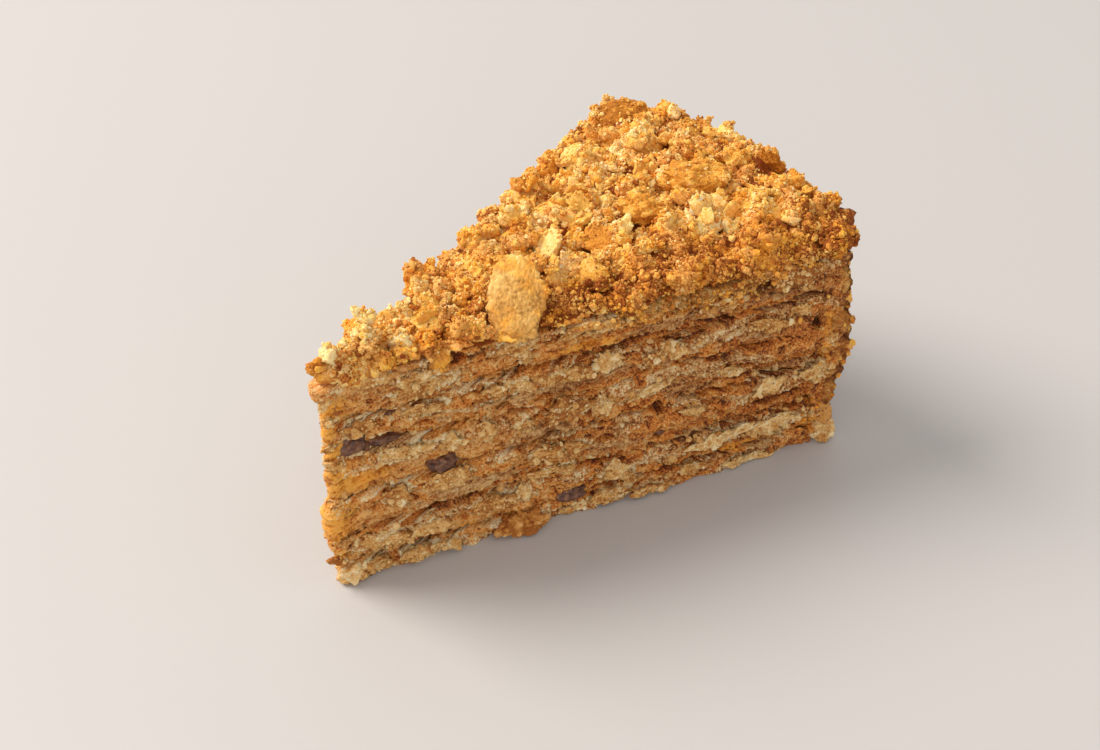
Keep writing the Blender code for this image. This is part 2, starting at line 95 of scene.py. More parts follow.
SOAKED = (
    (33, 15.4, 15, 2.6), (68, 15.6, 8, 2.1), (49, 25.0, 11, 2.2), (78, 28.6, 12, 2.2), (85, 25.6, 8, 1.6),
    (58, 35.9, 29, 1.9), (95, 38.5, 8, 1.5), (78, 45.3, 13, 1.8), (14, 33.2, 8, 1.6), (101, 35.8, 5, 1.5),
    (106, 45.5, 10, 1.2), (97, 31.6, 8, 1.4), (60, 17.0, 7, 1.4), (60, 50.6, 9, 1.0), (30, 4.6, 12, 1.0),
    (112, 24.8, 9, 1.3), (88, 12.6, 9, 1.4), (20, 29.6, 8, 1.2),
)
POCKETS = (
    (27.5, 50.6, 4.6, 1.9, 3.2), (34.5, 50.2, 2.6, 1.4, 2.4), (57, 50.0, 12, 0.7, 2.0),
    (102.6, 49.4, 3.4, 1.1, 2.6), (117.6, 55.0, 1.9, 1.5, 2.4), (91, 53.6, 2.0, 0.7, 1.8),
    (77.6, 23.2, 1.3, 1.8, 2.6), (64, 19.4, 2.6, 1.0, 2.2), (109, 16.2, 7.5, 1.2, 2.8),
    (28, 12.7, 8, 0.6, 1.8), (70, 43.1, 15, 0.5, 1.8), (56, 34.3, 8, 0.5, 1.6), (78, 15.4, 1.6, 1.2, 1.6),
    (85.5, 13.6, 1.2, 0.7, 1.6), (23, 10.2, 1.6, 0.9, 1.5), (118, 35.0, 2.0, 1.4, 2.0),
    (100.5, 29.6, 3.4, 0.7, 1.8), (12, 27.8, 5, 0.6, 1.8), (35, 38.6, 5, 0.6, 1.4),
    (61, 6.8, 1.4, 0.9, 1.2), (96, 45.2, 1.6, 1.8, 1.4), (15, 41.0, 1.6, 0.9, 1.4),
    (60.5, 27.0, 1.6, 1.2, 1.6), (118, 12.4, 1.6, 1.8, 1.6), (106, 47.0, 6.5, 0.6, 2.0),
    (92, 43.4, 5, 0.5, 1.6), (84, 41.4, 5, 0.5, 1.6), (40, 43.6, 6, 0.5, 1.4), (20, 36.2, 6, 0.5, 1.5),
    (44, 32.6, 5, 0.5, 1.5), (100, 25.4, 5, 0.7, 1.8), (52, 22.6, 5, 0.5, 1.5), (34, 18.2, 6, 0.5, 1.4),
    (88, 16.4, 3, 0.6, 1.6), (62, 12.2, 7, 0.5, 1.5), (104, 7.4, 6, 0.6, 1.7), (14, 6.2, 7, 0.6, 1.6),
    (40, 5.0, 6, 0.5, 1.4), (112, 39.6, 3, 0.8, 1.8), (92, 33.4, 4, 0.6, 1.5),
)
BULGES = (
    (82, 18.0, 16, 5.0, 1.0), (112, 33.5, 12, 5.5, 1.1), (46, 7.5, 12, 4.0, 0.8), (6, 15.5, 7, 5.0, 0.9),
    (9, 26.0, 8, 3.5, 0.7), (30, 24.5, 10, 3.0, 0.5), (70, 46.5, 18, 3.0, 0.6), (14, 44.5, 8, 2.5, 0.5),
    (96, 46.5, 10, 3.0, 0.6),
)
# Bright orange marks of the near cut. Those at the tip are a painted glow, for back light shining through
# the thin tip.
GLOWS = (
    (0, 46.0, 9, 4.0), (0, 18.5, 7, 8.5), (6, 26.4, 10, 4.2), (0, 41.0, 4, 3.4), (2, 36.0, 4, 4.0),
    (31, 4.8, 4, 1.2), (80, 30.4, 4, 1.6), (64, 27.6, 2.2, 2.4), (44, 29.2, 2.0, 1.6), (120, 8.0, 5, 5.0),
    (2, 31.0, 4, 3.0), (122, 30.0, 3, 12.0), (98, 4.8, 9, 1.2), (0, 8.0, 4, 4.0), (60, 45.0, 12, 1.4),
)


def smoothstep(low, high, value):
    t = min(max((value - low) / (high - low), 0.0), 1.0)
    return t * t * (3.0 - 2.0 * t)


def cut_direction(side):
    """Along a cut, away from the tip. The near cut is side -1 and the far one is side 1."""
    return Vector((math.cos(HALF_ANGLE), side * math.sin(HALF_ANGLE), 0.0))


def cut_outward(side):
    return Vector((-math.sin(HALF_ANGLE), side * math.cos(HALF_ANGLE), 0.0))


def on_cut(side, along, out, height):
    """A point so far along a cut, out of it and up."""
    return cut_direction(side) * along + cut_outward(side) * out + Vector((0.0, 0.0, height))


def level_way(angle):
    return Vector((math.cos(angle), math.sin(angle), 0.0))


def crag(point, salt):
    """The solids' own ragged relief of a cut, stretched along the layers."""
    return noise.noise(Vector((point.x / 6.5, point.y / 6.5 + salt, point.z / 2.6)))


def scaled(point, across, up, salt):
    """A point of the slice in a pattern whose grains are so many millimetres across and up."""
    return Vector((point.x / across + salt, point.y / across - salt, point.z / up + 0.37 * salt))


def grains(point, across, up, salt):
    return noise.noise(scaled(point, across, up, salt))


def stations():
    """Points round the wedge's edge at plate height, each with its outward way, how far along it is and
    its side: the near cut and the tip are -1 and the far cut is 1.
    """
    found = []
    reach = TIP_CENTRE * math.sin(HALF_ANGLE)
    start = TIP_CENTRE * math.cos(HALF_ANGLE)
    near = math.ceil((SHEET_RADIUS - start) / STATION_SPACING[-1])
    far = math.ceil((SHEET_RADIUS - start) / STATION_SPACING[1])
    for number in range(near + 1):
        along = start + (SHEET_RADIUS - start) * number / near
        found.append((cut_direction(-1) * along, cut_outward(-1), along, -1))
    for number in range(1, RIM_STEPS):
        angle = HALF_ANGLE * (2.0 * number / RIM_STEPS - 1.0)
        way = level_way(angle)
        found.append((way * SHEET_RADIUS, way, SHEET_RADIUS, -1 if angle < 0.0 else 1))
    for number in range(far + 1):
        along = SHEET_RADIUS - (SHEET_RADIUS - start) * number / far
        found.append((cut_direction(1) * along, cut_outward(1), along, 1))
    for number in range(1, TIP_STEPS):
        angle = math.pi / 2 + HALF_ANGLE + (math.pi - 2.0 * HALF_ANGLE) * number / TIP_STEPS
        way = level_way(angle)
        along = start * abs(1.0 - 2.0 * number / TIP_STEPS)
        found.append((Vector((TIP_CENTRE, 0.0, 0.0)) + way * reach, way, along, -1))
    return found


def ring_wall(count, rows, rings):
    """A closed band of `count` columns and some rows, closed over and under by rings and a flat middle."""
    bm = bmesh.new()
    column = bm.verts.layers.int.new("column")
    row = bm.verts.layers.int.new("row")
    ring = bm.verts.layers.int.new("ring")
    bmesh.ops.create_grid(bm, x_segments=count, y_segments=rows, size=0.5)
    for vert in bm.verts:
        vert[column] = round((vert.co.x + 0.5) * count) % count
        vert[row] = round((vert.co.y + 0.5) * rows)
        turn = math.tau * vert[column] / count
        vert.co = (math.cos(turn), math.sin(turn), float(vert[row]))
    bmesh.ops.remove_doubles(bm, verts=bm.verts, dist=1e-4)
    for last in (0, rows):
        loop = [edge for edge in bm.edges if edge.is_boundary and edge.verts[0][row] == last]
        for number in range(1, rings):
            lifted = bmesh.ops.extrude_edge_only(bm, edges=loop)["geom"]
            for item in lifted:
                if isinstance(item, bmesh.types.BMVert):
                    item[ring] = number
            loop = [item for item in lifted if isinstance(item, bmesh.types.BMEdge) and item.is_boundary
                    and all(vert[ring] == number for vert in item.verts)]
    bmesh.ops.holes_fill(bm, edges=[edge for edge in bm.edges if edge.is_boundary], sides=0)
    return bm


def add_piece(bm, name, values, material):
    """Turns a bmesh in millimetres from the tip into a piece that rides on the slice."""
    bmesh.ops.recalc_face_normals(bm, faces=bm.faces)
    bmesh.ops.triangulate(bm, faces=[face for face in bm.faces if len(face.verts) > 4])
    mesh = bpy.data.meshes.new(name)
    bm.to_mesh(mesh)
    bm.free()
    mesh.transform(Matrix.Scale(METRES, 4) @ Matrix.Translation(TIP))
    return finish_piece(mesh, name, values, material)


def finish_piece(mesh, name, values, material, smooth=True):
    """Links a mesh as a piece of the slice, with its values as attributes of the corners."""
    for key, numbers in values.items():
        mesh.attributes.new(key, "FLOAT", "POINT").data.foreach_set("value", np.asarray(numbers, np.float32))
    mesh.polygons.foreach_set("use_smooth", [smooth] * len(mesh.polygons))
    piece = bpy.data.objects.new(name, mesh)
    bpy.context.collection.objects.link(piece)
    mesh.materials.append(material)
    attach(piece, "root")
    return piece


def border_height(height, number, waves, place, calm):
    """Height of the border between two layers: the solids' slow waves, and a finer wander."""
    distance = place.length
    fade = smoothstep(4.0, 24.0, distance) * (1.0 - smoothstep(106.0, 117.0, distance))
    high = waves * fade * noise.noise(Vector((place.x / 27.0, place.y / 27.0, number * 5.37)))
    if number not in (0, 2):
        high += 1.1 * noise.noise(Vector((place.x / 3.4, place.y / 3.4, number * 3.3)))
        high += 0.55 * noise.noise(Vector((place.x / 1.2, place.y / 1.2, number * 7.1)))
    return height + high * calm


def mark(marks, point, along, ragged):
    """How far inside the nearest of some marks of the near cut a point lies, from below 0 to 1, and
    that mark's last value.
    """
    best, value = -9.0, 0.0
    for entry in marks:
        across = (along - entry[0]) / entry[2]
        up = (point.z - entry[1]) / entry[3]
        if abs(across) < 1.9 and abs(up) < 2.2:
            inside = 1.0 - math.hypot(across, up) + ragged
            if inside > best:
                best, value = inside, entry[-1]
    return best, value


def packed_cells(point, across, up, salt, warp):
    """Packed grains of a size: 1 in the middle of each, 0 in the cracks between them."""
    distances = noise.voronoi(scaled(point, across, up, salt) + warp)[0]
    return smoothstep(0.72, 0.12, distances[0]) * smoothstep(0.0, 0.2, distances[1] - distances[0])


def layer_form(kind, number, point, along, side):
    """How far a layer's wall stands out there, and how bare, soaked, orange or strewn with crumbs it is."""
    salt = number * 3.1 + (40.0 if kind == "cream" else 0.0)
    coarse = grains(point, 2.6, 2.0, salt)
    fine = grains(point, 1.1, 0.8, salt)
    grit = grains(point, 0.55, 0.45, salt)
    warp = Vector((coarse, fine, grit)) * 0.35
    dome = packed_cells(point, 3.2, 2.3, salt, warp)
    crumb = packed_cells(point, 1.15, 0.95, salt, warp)
    if kind == "pastry":
        torn = smoothstep(-0.06, 0.06, grains(point, 6.5, 3.0, salt + 5.0) + 0.25 * coarse + 0.06)
    else:
        torn = 0.8 * smoothstep(0.20, 0.30, grains(point, 5.0, 2.2, salt + 5.0) + 0.2 * coarse)
    soaked = smoothstep(0.05, 0.35, grains(point, 16.0, 2.2, salt + 9.0))
    leaves = noise.noise(scaled(point, 8.0, 0.8, salt + 3.0) + 0.25 * warp)
    line = abs(noise.noise(scaled(point, 8.5, 1.7, 60.0) + 0.5 * warp))
    crack = smoothstep(0.06, 0.01, line) * smoothstep(0.0, 0.2, grains(point, 9.0, 6.0, 80.0))
    halo = pocket = glow = spill = bulge = calm = 0.0
    if side < 0:
        ragged = 0.5 * coarse + 0.45 * fine + 0.2 * grit
        inside = mark(FLAKES, point, along, ragged)[0]
        flake = smoothstep(0.0, 0.16, inside)
        halo = smoothstep(-0.55, -0.1, inside) * (1.0 - flake)
        torn = max(torn * (0.6 if kind == "pastry" else 0.4) * (1.0 - 0.5 * halo), 0.8 * flake)
        wet = smoothstep(0.0, 0.3, mark(SOAKED, point, along, ragged)[0])
        soaked = max(soaked * 0.35, wet) * (1.0 - flake)
        # The glow field paints the marks orange; at the tip it is a painted glow of back light shining
        # through.
        glow = smoothstep(0.0, 0.6, mark(GLOWS, point, along, 0.6 * ragged)[0])
        inside, depth = mark(POCKETS, point, along, 0.6 * ragged)
        inside = smoothstep(0.0, 0.3, inside)
        pocket = inside * depth
        torn *= 1.0 - inside
        for where, height, half_length, half_height, swell in BULGES:
            near = math.exp(-((along - where) / half_length) ** 2 - ((point.z - height) / half_height) ** 2)
            bulge += swell * near
            calm = max(calm, smoothstep(0.3, 0.7, near))
        calm *= 1.0 - flake
        torn *= (1.0 - 0.8 * calm) * (0.55 + 0.45 * smoothstep(0.0, 6.0, along))
        crack *= 1.0 - 0.6 * calm
        bank = smoothstep(57.0, 66.0, along) * smoothstep(112.0, 102.0, along)
        edge = point.z - 48.0 - 2.0 * coarse - 9.0 * (1.0 - bank)
        spill = smoothstep(-0.8, 0.8, edge) * (1.0 - flake)
        torn *= 1.0 - spill
    else:
        torn *= 0.9
        soaked *= 0.45
        spill = 0.3
    crack *= 1.0 - 0.6 * torn
    pits = smoothstep(-0.42, -0.22, grains(point, 1.9, 0.9, salt + 2.0))
    out = torn * (0.4 * dome + 0.5 * crumb - 0.1) + bulge
    out += (1.0 - torn) * (0.45 * coarse + 0.5 * grains(point, 7.0, 4.0, salt) - 0.2)
    leaves *= 1.0 - 0.7 * calm
    out += (1.0 - torn) * ((0.1 + 0.15 * soaked) * leaves + 0.3 * crumb + 0.5 * pits - 0.5)
    out += spill * (0.8 * crumb + 0.6 * dome) + (0.22 + 0.15 * torn) * fine + (0.26 + 0.1 * torn) * grit
    out -= 0.5 * halo + pocket + 1.1 * crack
    if along < 8.0:
        out *= 0.75 + 0.25 * smoothstep(2.0, 8.0, along)
        swell = 1.3 + 2.0 * math.exp(-((point.z - 16.5) / 5.5) ** 2)
        out += smoothstep(5.5, 0.0, along) * (swell + 1.6 * math.exp(-((point.z - 51.5) / 3.0) ** 2))
    bare = torn * (0.55 + 0.45 * crumb)
    shade = 0.5 + 0.3 * coarse + 0.2 * (crumb - 0.5) + 0.25 * fine + 0.25 * grit + 0.5 * leaves * soaked
    # Darker in the cracks, pits and pockets and in the ring round each flake: painted shade of these
    # recesses, and partly the wetter cream that lies in them.
    shade -= 0.5 * crack + 0.25 * (1.0 - pits) + 0.12 * halo + 0.22 * pocket
    if side < 0:
        shade += 0.1 - 0.26 * smoothstep(15.0, 115.0, along)
    return out, (bare, soaked, glow, spill, shade)


def hex_colour(text):
    """An sRGB hex value as the linear colour that a shader takes."""
    parts = [int(text[index:index + 2], 16) / 255.0 for index in (1, 3, 5)]
    return [part / 12.92 if part <= 0.04045 else ((part + 0.055) / 1.055) ** 2.4 for part in parts] + [1.0]


def set_inputs(tree, node, inputs):
    """Sets a node's properties and sockets by name, and links a socket that is given an output."""
    for name, value in inputs.items():
        if name == "ramp":
            while len(node.color_ramp.elements) < len(value):
                node.color_ramp.elements.new(0.5)
            for element, (position, colour) in zip(node.color_ramp.elements, value):
                element.position = position
                element.color = hex_colour(colour)
        elif hasattr(node, name):
            setattr(node, name, value)
        else:
            socket = node.inputs[int(name) if name.isdigit() else name]
            if isinstance(value, bpy.types.NodeSocket):
                tree.links.new(value, socket)
            else:
                socket.default_value = value


def add_node(tree, kind, inputs, output=0):
    """Adds a node, sets what it takes, and gives back one of its outputs."""
    node = tree.nodes.new("ShaderNode" + kind)
    set_inputs(tree, node, inputs)
    return node.outputs[output]


def new_material(name):
    material = bpy.data.materials.new(name)
    material.use_nodes = True
    return material, material.node_tree, material.node_tree.nodes["Principled BSDF"]


CREAM_COLOURS = ((0.0, "#5C2A0C"), (0.2, "#A8561C"), (0.42, "#D67E2C"), (0.62, "#E29A44"), (0.9, "#F2C07A"))
PASTRY_COLOURS = ((0.1, "#9A5E2C"), (0.35, "#CC9858"), (0.6, "#E4BE84"), (0.9, "#F8E2B4"))
SOAKED_COLOURS = ((0.05, "#683C18"), (0.3, "#A8703C"), (0.55, "#C8965C"), (0.85, "#DCB47A"))
AMBER_COLOURS = ((0.0, "#B4600E"), (0.3, "#E88E1E"), (0.6, "#FCB248"))
STREWN_COLOURS = ((0.3, "#7A4216"), (0.55, "#B4742E"), (0.8, "#D8A458"), (1.0, "#EED09A"))


def torn_layer_material(name, roughness):
    """Torn puff pastry with caramel cream. Bare pastry is pale and chalky, soaked pastry is greyer, and
    the cream is a glossier brown that light shines through. Crumbs from the top lie on the upper layers.
    """
    material, tree, shader = new_material(name)
    place = add_node(tree, "TexCoord", {}, "Object")
    fields = {key: add_node(tree, "Attribute", {"attribute_name": key}, "Fac") for key in FIELDS}
    mottle = add_node(tree, "TexNoise", {"Scale": 330.0, "Detail": 5.0, "Roughness": 0.65, "Vector": place})
    speck = add_node(tree, "TexNoise", {"Scale": 2000.0, "Detail": 3.0, "Roughness": 0.75, "Vector": place})
    patch = add_node(tree, "Math", {"operation": "MULTIPLY_ADD", "0": mottle, "1": 0.55, "2": -0.25})
    grain = add_node(tree, "Math", {"operation": "MULTIPLY_ADD", "0": speck, "1": 2.3, "2": -1.07})
    both = add_node(tree, "Math", {"operation": "ADD", "0": patch, "1": grain})
    level = add_node(tree, "Math", {"operation": "ADD", "0": both, "1": fields["shade"]})
    cream = add_node(tree, "ValToRGB", {"ramp": CREAM_COLOURS, "Fac": level})
    pastry = add_node(tree, "ValToRGB", {"ramp": PASTRY_COLOURS, "Fac": level})
    damp = add_node(tree, "ValToRGB", {"ramp": SOAKED_COLOURS, "Fac": level})
    amber = add_node(tree, "ValToRGB", {"ramp": AMBER_COLOURS, "Fac": level})
    sand = add_node(tree, "Math", {"operation": "MULTIPLY_ADD", "0": speck, "1": 0.6, "2": fields["shade"]})
    strewn = add_node(tree, "ValToRGB", {"ramp": STREWN_COLOURS, "Fac": sand})
    edge = add_node(tree, "Math", {"operation": "MULTIPLY_ADD", "0": speck, "1": 0.5, "2": fields["bare"]})
    share = add_node(tree, "MapRange", {"From Min": 0.5, "From Max": 0.66, "Value": edge})
    soaked = add_node(tree, "Math", {"operation": "MULTIPLY", "0": fields["soaked"], "1": 0.8})
    # The glow field mixes in amber; at the tip this is a painted glow of back light shining through.
    orange = add_node(tree, "Math", {"operation": "MULTIPLY", "0": fields["glow"], "1": 0.92})
    colour = cream
    for amount, over in ((soaked, damp), (orange, amber), (fields["spill"], strewn), (share, pastry)):
        colour = add_node(tree, "Mix", {"data_type": "RGBA", "0": amount, "6": colour, "7": over}, 2)
    gloss = add_node(tree, "MapRange", {"To Min": roughness, "To Max": 0.85, "Value": share})
    bump = add_node(tree, "Bump", {"Strength": 1.0, "Distance": 0.0006, "Height": speck})
    set_inputs(tree, shader, {
        "Base Color": colour, "Roughness": gloss, "Normal": bump, "IOR": 1.45, "Specular IOR Level": 0.4,
        "Subsurface Weight": 0.2, "Subsurface Radius": (1.0, 0.5, 0.2), "Subsurface Scale": 0.001})
    return material


layer_materials = {"pastry": torn_layer_material("torn_puff_pastry", 0.55),
                   "cream": torn_layer_material("boiled_caramel_cream", 0.42)}
EDGE = stations()


def layer_reach(kind, number, place, along, side, fraction):
    """The solids' own form of a wall: how far it stands out of the cut, with the lips of the sheets."""
    salt = (number if kind == "pastry" else number + 10) * 3.1
    stands_out, ragged = (0.5, 1.7) if kind == "pastry" else (-0.7, 1.3)
    out = (stands_out + ragged * crag(place, salt)) * (0.25 + 0.75 * smoothstep(1.0, 10.0, along))
    for sheet, start, end, reach in LIPS:
        if kind == "pastry" and side < 0 and sheet == number:
            inside = smoothstep(start - 6.0, start, along) * (1.0 - smoothstep(end, end + 6.0, along))
            out += reach * inside * (0.3 + 0.7 * fraction)
    return out


def build_layer(kind, number, bottom, top):
    """One sheet or one cream from the border under it to the border over it."""
    rows = max(10, round((top[0] - bottom[0]) / ROW_SPACING))
    bm = ring_wall(len(EDGE), rows, len(RING_SHARES))
    column = bm.verts.layers.int["column"]
    row = bm.verts.layers.int["row"]
    ring = bm.verts.layers.int["ring"]
    fields = []
    for vert in bm.verts:
        base, outward, along, side = EDGE[vert[column]]
        fraction = vert[row] / rows
        share, waves = RING_SHARES[vert[ring]], RING_WAVES[vert[ring]]
        place = WEDGE_MIDDLE + (base - WEDGE_MIDDLE) * share
        low = border_height(*bottom, base, waves) + (GAP / 2 if bottom[0] > 0.0 else 0.0)
        high = border_height(*top, base, waves) - GAP / 2
        height = low + (high - low) * fraction
        point = Vector((base.x, base.y, height)) + outward * (TIP_SWELL * smoothstep(8.0, 2.3, along))
        out = layer_reach(kind, number, point, along, side, fraction)
        relief, field = layer_form(kind, number, point, along, side)
        border_salt = number + (0.5 if fraction > 0.5 else 0.0)
        groove = smoothstep(-0.15, 0.3, grains(base, 8.0, 1.0, border_salt)) * smoothstep(2.0, 12.0, along)
        out += relief - (0.8 * groove if kind == "pastry" else -0.1) * abs(2.0 * fraction - 1.0) ** 3
        if along == SHEET_RADIUS and abs(base.y) < cut_direction(1).y * FLAT_RIM:
            out = 0.0
        if vert[ring]:
            out = min(out, 0.0) + max(out, 0.0) * waves * 0.6
        vert.co = (place.x + outward.x * out, place.y + outward.y * out, height)
        fields.append(field)
    values = dict(zip(FIELDS, zip(*fields)))
    piece = add_piece(bm, f"{kind}_layer_{number}", values, layer_materials[kind])
    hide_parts(f"{kind}_{number}")
    return piece


walls = []
border = (0.0, 0, 0.0)
for sheet in range(6, 0, -1):
    over = (border[0] + PASTRY_THICKNESS[sheet], 2 * sheet, BORDER_WAVES if sheet > 1 else 0.0)
    walls.append(build_layer("pastry", sheet, border, over))
    border = over
    if sheet > 1:
        over = (border[0] + CREAM_THICKNESS[sheet - 1], 2 * sheet - 1, BORDER_WAVES)
        walls.append(build_layer("cream", sheet - 1, border, over))
        border = over
TOP_SHEET = border[0]

# Walnut pieces in the cream. They are broken kernels with their dark skin on, stirred into it, and
# the knife has laid some bare in the near cut. Each is a knocked ball, half sunk in its cream.
# Each has its place along the near cut, its height, its half length and its half height.
WALNUTS = ((6.6, 35.0, 3.4, 2.6), (13.0, 34.4, 3.4, 0.9), (25.4, 24.6, 3.2, 2.0), (55.6, 5.3, 4.2, 1.7),
           (79.0, 15.2, 1.8, 1.2), (15.0, 40.6, 1.6, 1.0))
WALNUT_HALF_DEPTH = 1.6
CLEAR_OF_CUT = 20.0


def walnut_material():
    """Walnut kernel: a thin purplish brown skin, slightly oily, with paler broken flesh."""
    material, tree, shader = new_material("walnut_skin")
    place = add_node(tree, "TexCoord", {}, "Object")
    grain = add_node(tree, "TexNoise", {"Scale": 700.0, "Detail": 5.0, "Roughness": 0.7, "Vector": place})
    colour = add_node(tree, "ValToRGB", {"ramp": (
        (0.3, "#3A2018"), (0.46, "#603C2C"), (0.58, "#84583C"), (0.72, "#A87C50")), "Fac": grain})
    bump = add_node(tree, "Bump", {"Strength": 0.6, "Distance": 0.0004, "Height": grain})
    set_inputs(tree, shader, {
        "Base Color": colour, "Normal": bump, "Roughness": 0.45, "Specular IOR Level": 0.45})
    return material


def wall_trees(pieces):
    """One search tree over the finished faces of some pieces, in millimetres from the tip."""
    corners, faces = [], []
    for piece in pieces:
        start = len(corners)
        co = np.empty(len(piece.data.vertices) * 3, np.float32)
        piece.data.vertices.foreach_get("co", co)
        corners += (co.reshape(-1, 3) / METRES - np.array(TIP)).tolist()
        faces += [[start + index for index in face.vertices] for face in piece.data.polygons]
    return BVHTree.FromPolygons(corners, faces)


def meet_cut(tree, side, along, height):
    """Where a ray square to a cut first meets its finished surface: the place, its normal and the drop."""
    outside = on_cut(side, along, CLEAR_OF_CUT, height)
    spot, normal, index, drop = tree.ray_cast(outside, -cut_outward(side))
    return spot, normal, drop


def turned_at(spot):
    """Lays a form's length along the near cut and sets it down at a place."""
    return Matrix.Translation(spot) @ Matrix.Rotation(-HALF_ANGLE, 4, "Z")


layers_tree = wall_trees(walls)
bm = bmesh.new()
for along, height, half_length, half_height in WALNUTS:
    spot = meet_cut(layers_tree, -1, along, height)[0]
    made = bmesh.ops.create_icosphere(bm, subdivisions=4, radius=1.0)["verts"]
    for vert in made:
        grown = vert.co * (1.0 + 0.45 * noise.noise(vert.co * 1.6 + Vector((along, 0.0, 0.0))))
        grown *= 1.0 + 0.16 * noise.noise(vert.co * 5.0 + Vector((along, 3.0, 0.0)))
        vert.co = Vector((grown.x * half_length, grown.y * WALNUT_HALF_DEPTH, grown.z * half_height))
    bmesh.ops.transform(bm, matrix=turned_at(spot - cut_outward(-1) * 0.3), verts=made)
add_piece(bm, "walnut_pieces", {}, walnut_material())

# The coat round the rim. The same caramel cream, spread with a knife and pressed full of crumbs, so it
# is rough all over and rounds over at its top and its foot. It is one closed wall with a flat inside.
COAT_INNER = SHEET_RADIUS + GAP
# The coat's radius at some heights
COAT_PROFILE = ((0.0, 121.8), (5.5, 123.6), (11.0, 124.8), (16.5, 125.6), (22.0, 127.8), (28.0, 128.2),
                (34.5, 127.6), (41.5, 126.8), (47.0, 126.2), (52.45, 126.3))
COAT_COLUMNS = 230
COAT_END_COLUMNS = 22
COAT_BACK_COLUMNS = 60
COAT_ROWS = 150


def coat_radius(height):
    for (low, near), (high, far) in zip(COAT_PROFILE, COAT_PROFILE[1:]):
        if height <= high:
            return near + (far - near) * (height - low) / (high - low)
    return COAT_PROFILE[-1][1]


def crumb_material(name, colours, golden_colours, softness, grit_share=1.3):
    """Crumbs of baked pastry: dry and matt, from toasted brown to pale, each crumb its own shade, with a
    finer grit in it and golden ones in drifts. A little light passes through them.
    """
    material, tree, shader = new_material(name)
    place = add_node(tree, "TexCoord", {}, "Object")
    shade = add_node(tree, "Attribute", {"attribute_name": "shade"}, "Fac")
    patch = add_node(tree, "TexNoise", {"Scale": 420.0, "Detail": 3.0, "Roughness": 0.6, "Vector": place})
    grit = add_node(tree, "TexNoise", {"Scale": 2100.0, "Detail": 3.0, "Roughness": 0.7, "Vector": place})
    drift = add_node(tree, "Math", {"operation": "MULTIPLY_ADD", "0": patch, "1": 0.55, "2": -0.275})
    sand = add_node(tree, "Math", {
        "operation": "MULTIPLY_ADD", "0": grit, "1": grit_share, "2": -0.5 * grit_share})
    both = add_node(tree, "Math", {"operation": "ADD", "0": drift, "1": sand})
    level = add_node(tree, "Math", {"operation": "ADD", "use_clamp": True, "0": both, "1": shade})
    beige = add_node(tree, "ValToRGB", {"ramp": colours, "Fac": level})
    golden = add_node(tree, "ValToRGB", {"ramp": golden_colours, "Fac": level})
    drifts = add_node(tree, "TexNoise", {"Scale": 210.0, "Detail": 3.0, "Roughness": 0.6, "Vector": place})
    richer = add_node(tree, "Math", {"operation": "MULTIPLY_ADD", "0": shade, "1": 0.3, "2": drifts})
    share = add_node(tree, "MapRange", {"From Min": 0.56, "From Max": 0.72, "Value": richer})
    colour = add_node(tree, "Mix", {"data_type": "RGBA", "0": share, "6": beige, "7": golden}, 2)
    bump = add_node(tree, "Bump", {"Strength": 0.9, "Distance": 0.0004, "Height": grit})
    set_inputs(tree, shader, {
        "Base Color": colour, "Normal": bump, "Roughness": 0.78, "IOR": 1.45, "Specular IOR Level": 0.3,
        "Subsurface Weight": softness, "Subsurface Radius": (1.0, 0.6, 0.25), "Subsurface Scale": 0.0009})
    return material


BEIGE = ((0.0, "#8A420C"), (0.22, "#C87A2C"), (0.46, "#EAA650"), (0.74, "#F6CA80"), (1.0, "#FDE6BA"))
GOLDEN = ((0.0, "#92460A"), (0.22, "#D68420"), (0.46, "#F4A634"), (0.74, "#FBC860"), (1.0, "#FFE2A0"))
CHIP = ((0.0, "#B06A18"), (0.3, "#DC9230"), (0.6, "#F4B850"), (1.0, "#FDDE98"))
TORN = ((0.0, "#A05E26"), (0.25, "#CA924C"), (0.5, "#E2B674"), (0.75, "#EFD29A"), (1.0, "#F8E8C2"))
CARAMEL = ((0.0, "#A05C22"), (0.3, "#C07C34"), (0.55, "#D89A50"), (0.8, "#E8BC7C"), (1.0, "#F6E0B4"))
STALE_GOLD = ((0.0, "#B67E36"), (0.3, "#DAA658"), (0.6, "#F0C87C"), (1.0, "#FDECB6"))
crumb_finish = crumb_material("baked_pastry_crumbs", BEIGE, GOLDEN, 0.2)
chip_finish = crumb_material("golden_pastry_chips", CHIP, CHIP, 0.35)
flake_finish = crumb_material("torn_pale_pastry", TORN, TORN, 0.2)
front_finish = crumb_material("crumbly_golden_flake", STALE_GOLD, CHIP, 0.25, 0.45)
lump_finish = crumb_material("caramel_cream_lump", CARAMEL, CARAMEL, 0.2)


# noise_vector takes its offsets from the clock unless it has a seed
noise.seed_set(7)


def crumb_relief(point, sizes, salt):
    """Packed crumbs of some sizes, as (size, height) in millimetres: their relief and their shade."""
    high, shade = 0.0, 0.0
    for index, (size, height) in enumerate(sizes):
        wander = noise.noise_vector(point / (0.55 * size)) * 0.3
        distances, centres = noise.voronoi(point / size + wander + Vector((salt, index * 7.7, 0.0)))
        dome = 0.65 * smoothstep(0.80, 0.10, distances[0])
        dome += 0.35 * smoothstep(0.0, 0.4, distances[1] - distances[0])
        high += height * (dome - 0.5)
        # A crumb's shade is its own random tone, and lower between crumbs: painted shade in the hollows.
        shade += (noise.cell(centres[0] * 9.0) - 0.5) * height + 0.5 * height * (dome - 0.5)
    return high, shade / sum(height for size, height in sizes)


def layer_at(height):
    """The layer that lies at a height of the cut: its kind, its number and how far up in it that is."""
    low = 0.0
    for sheet in range(6, 0, -1):
        for kind, number, thickness in (("pastry", sheet, PASTRY_THICKNESS[sheet]),
                                        ("cream", sheet - 1, CREAM_THICKNESS.get(sheet - 1, 9.0))):
            if height <= low + thickness:
                return kind, number, (height - low) / thickness
            low += thickness


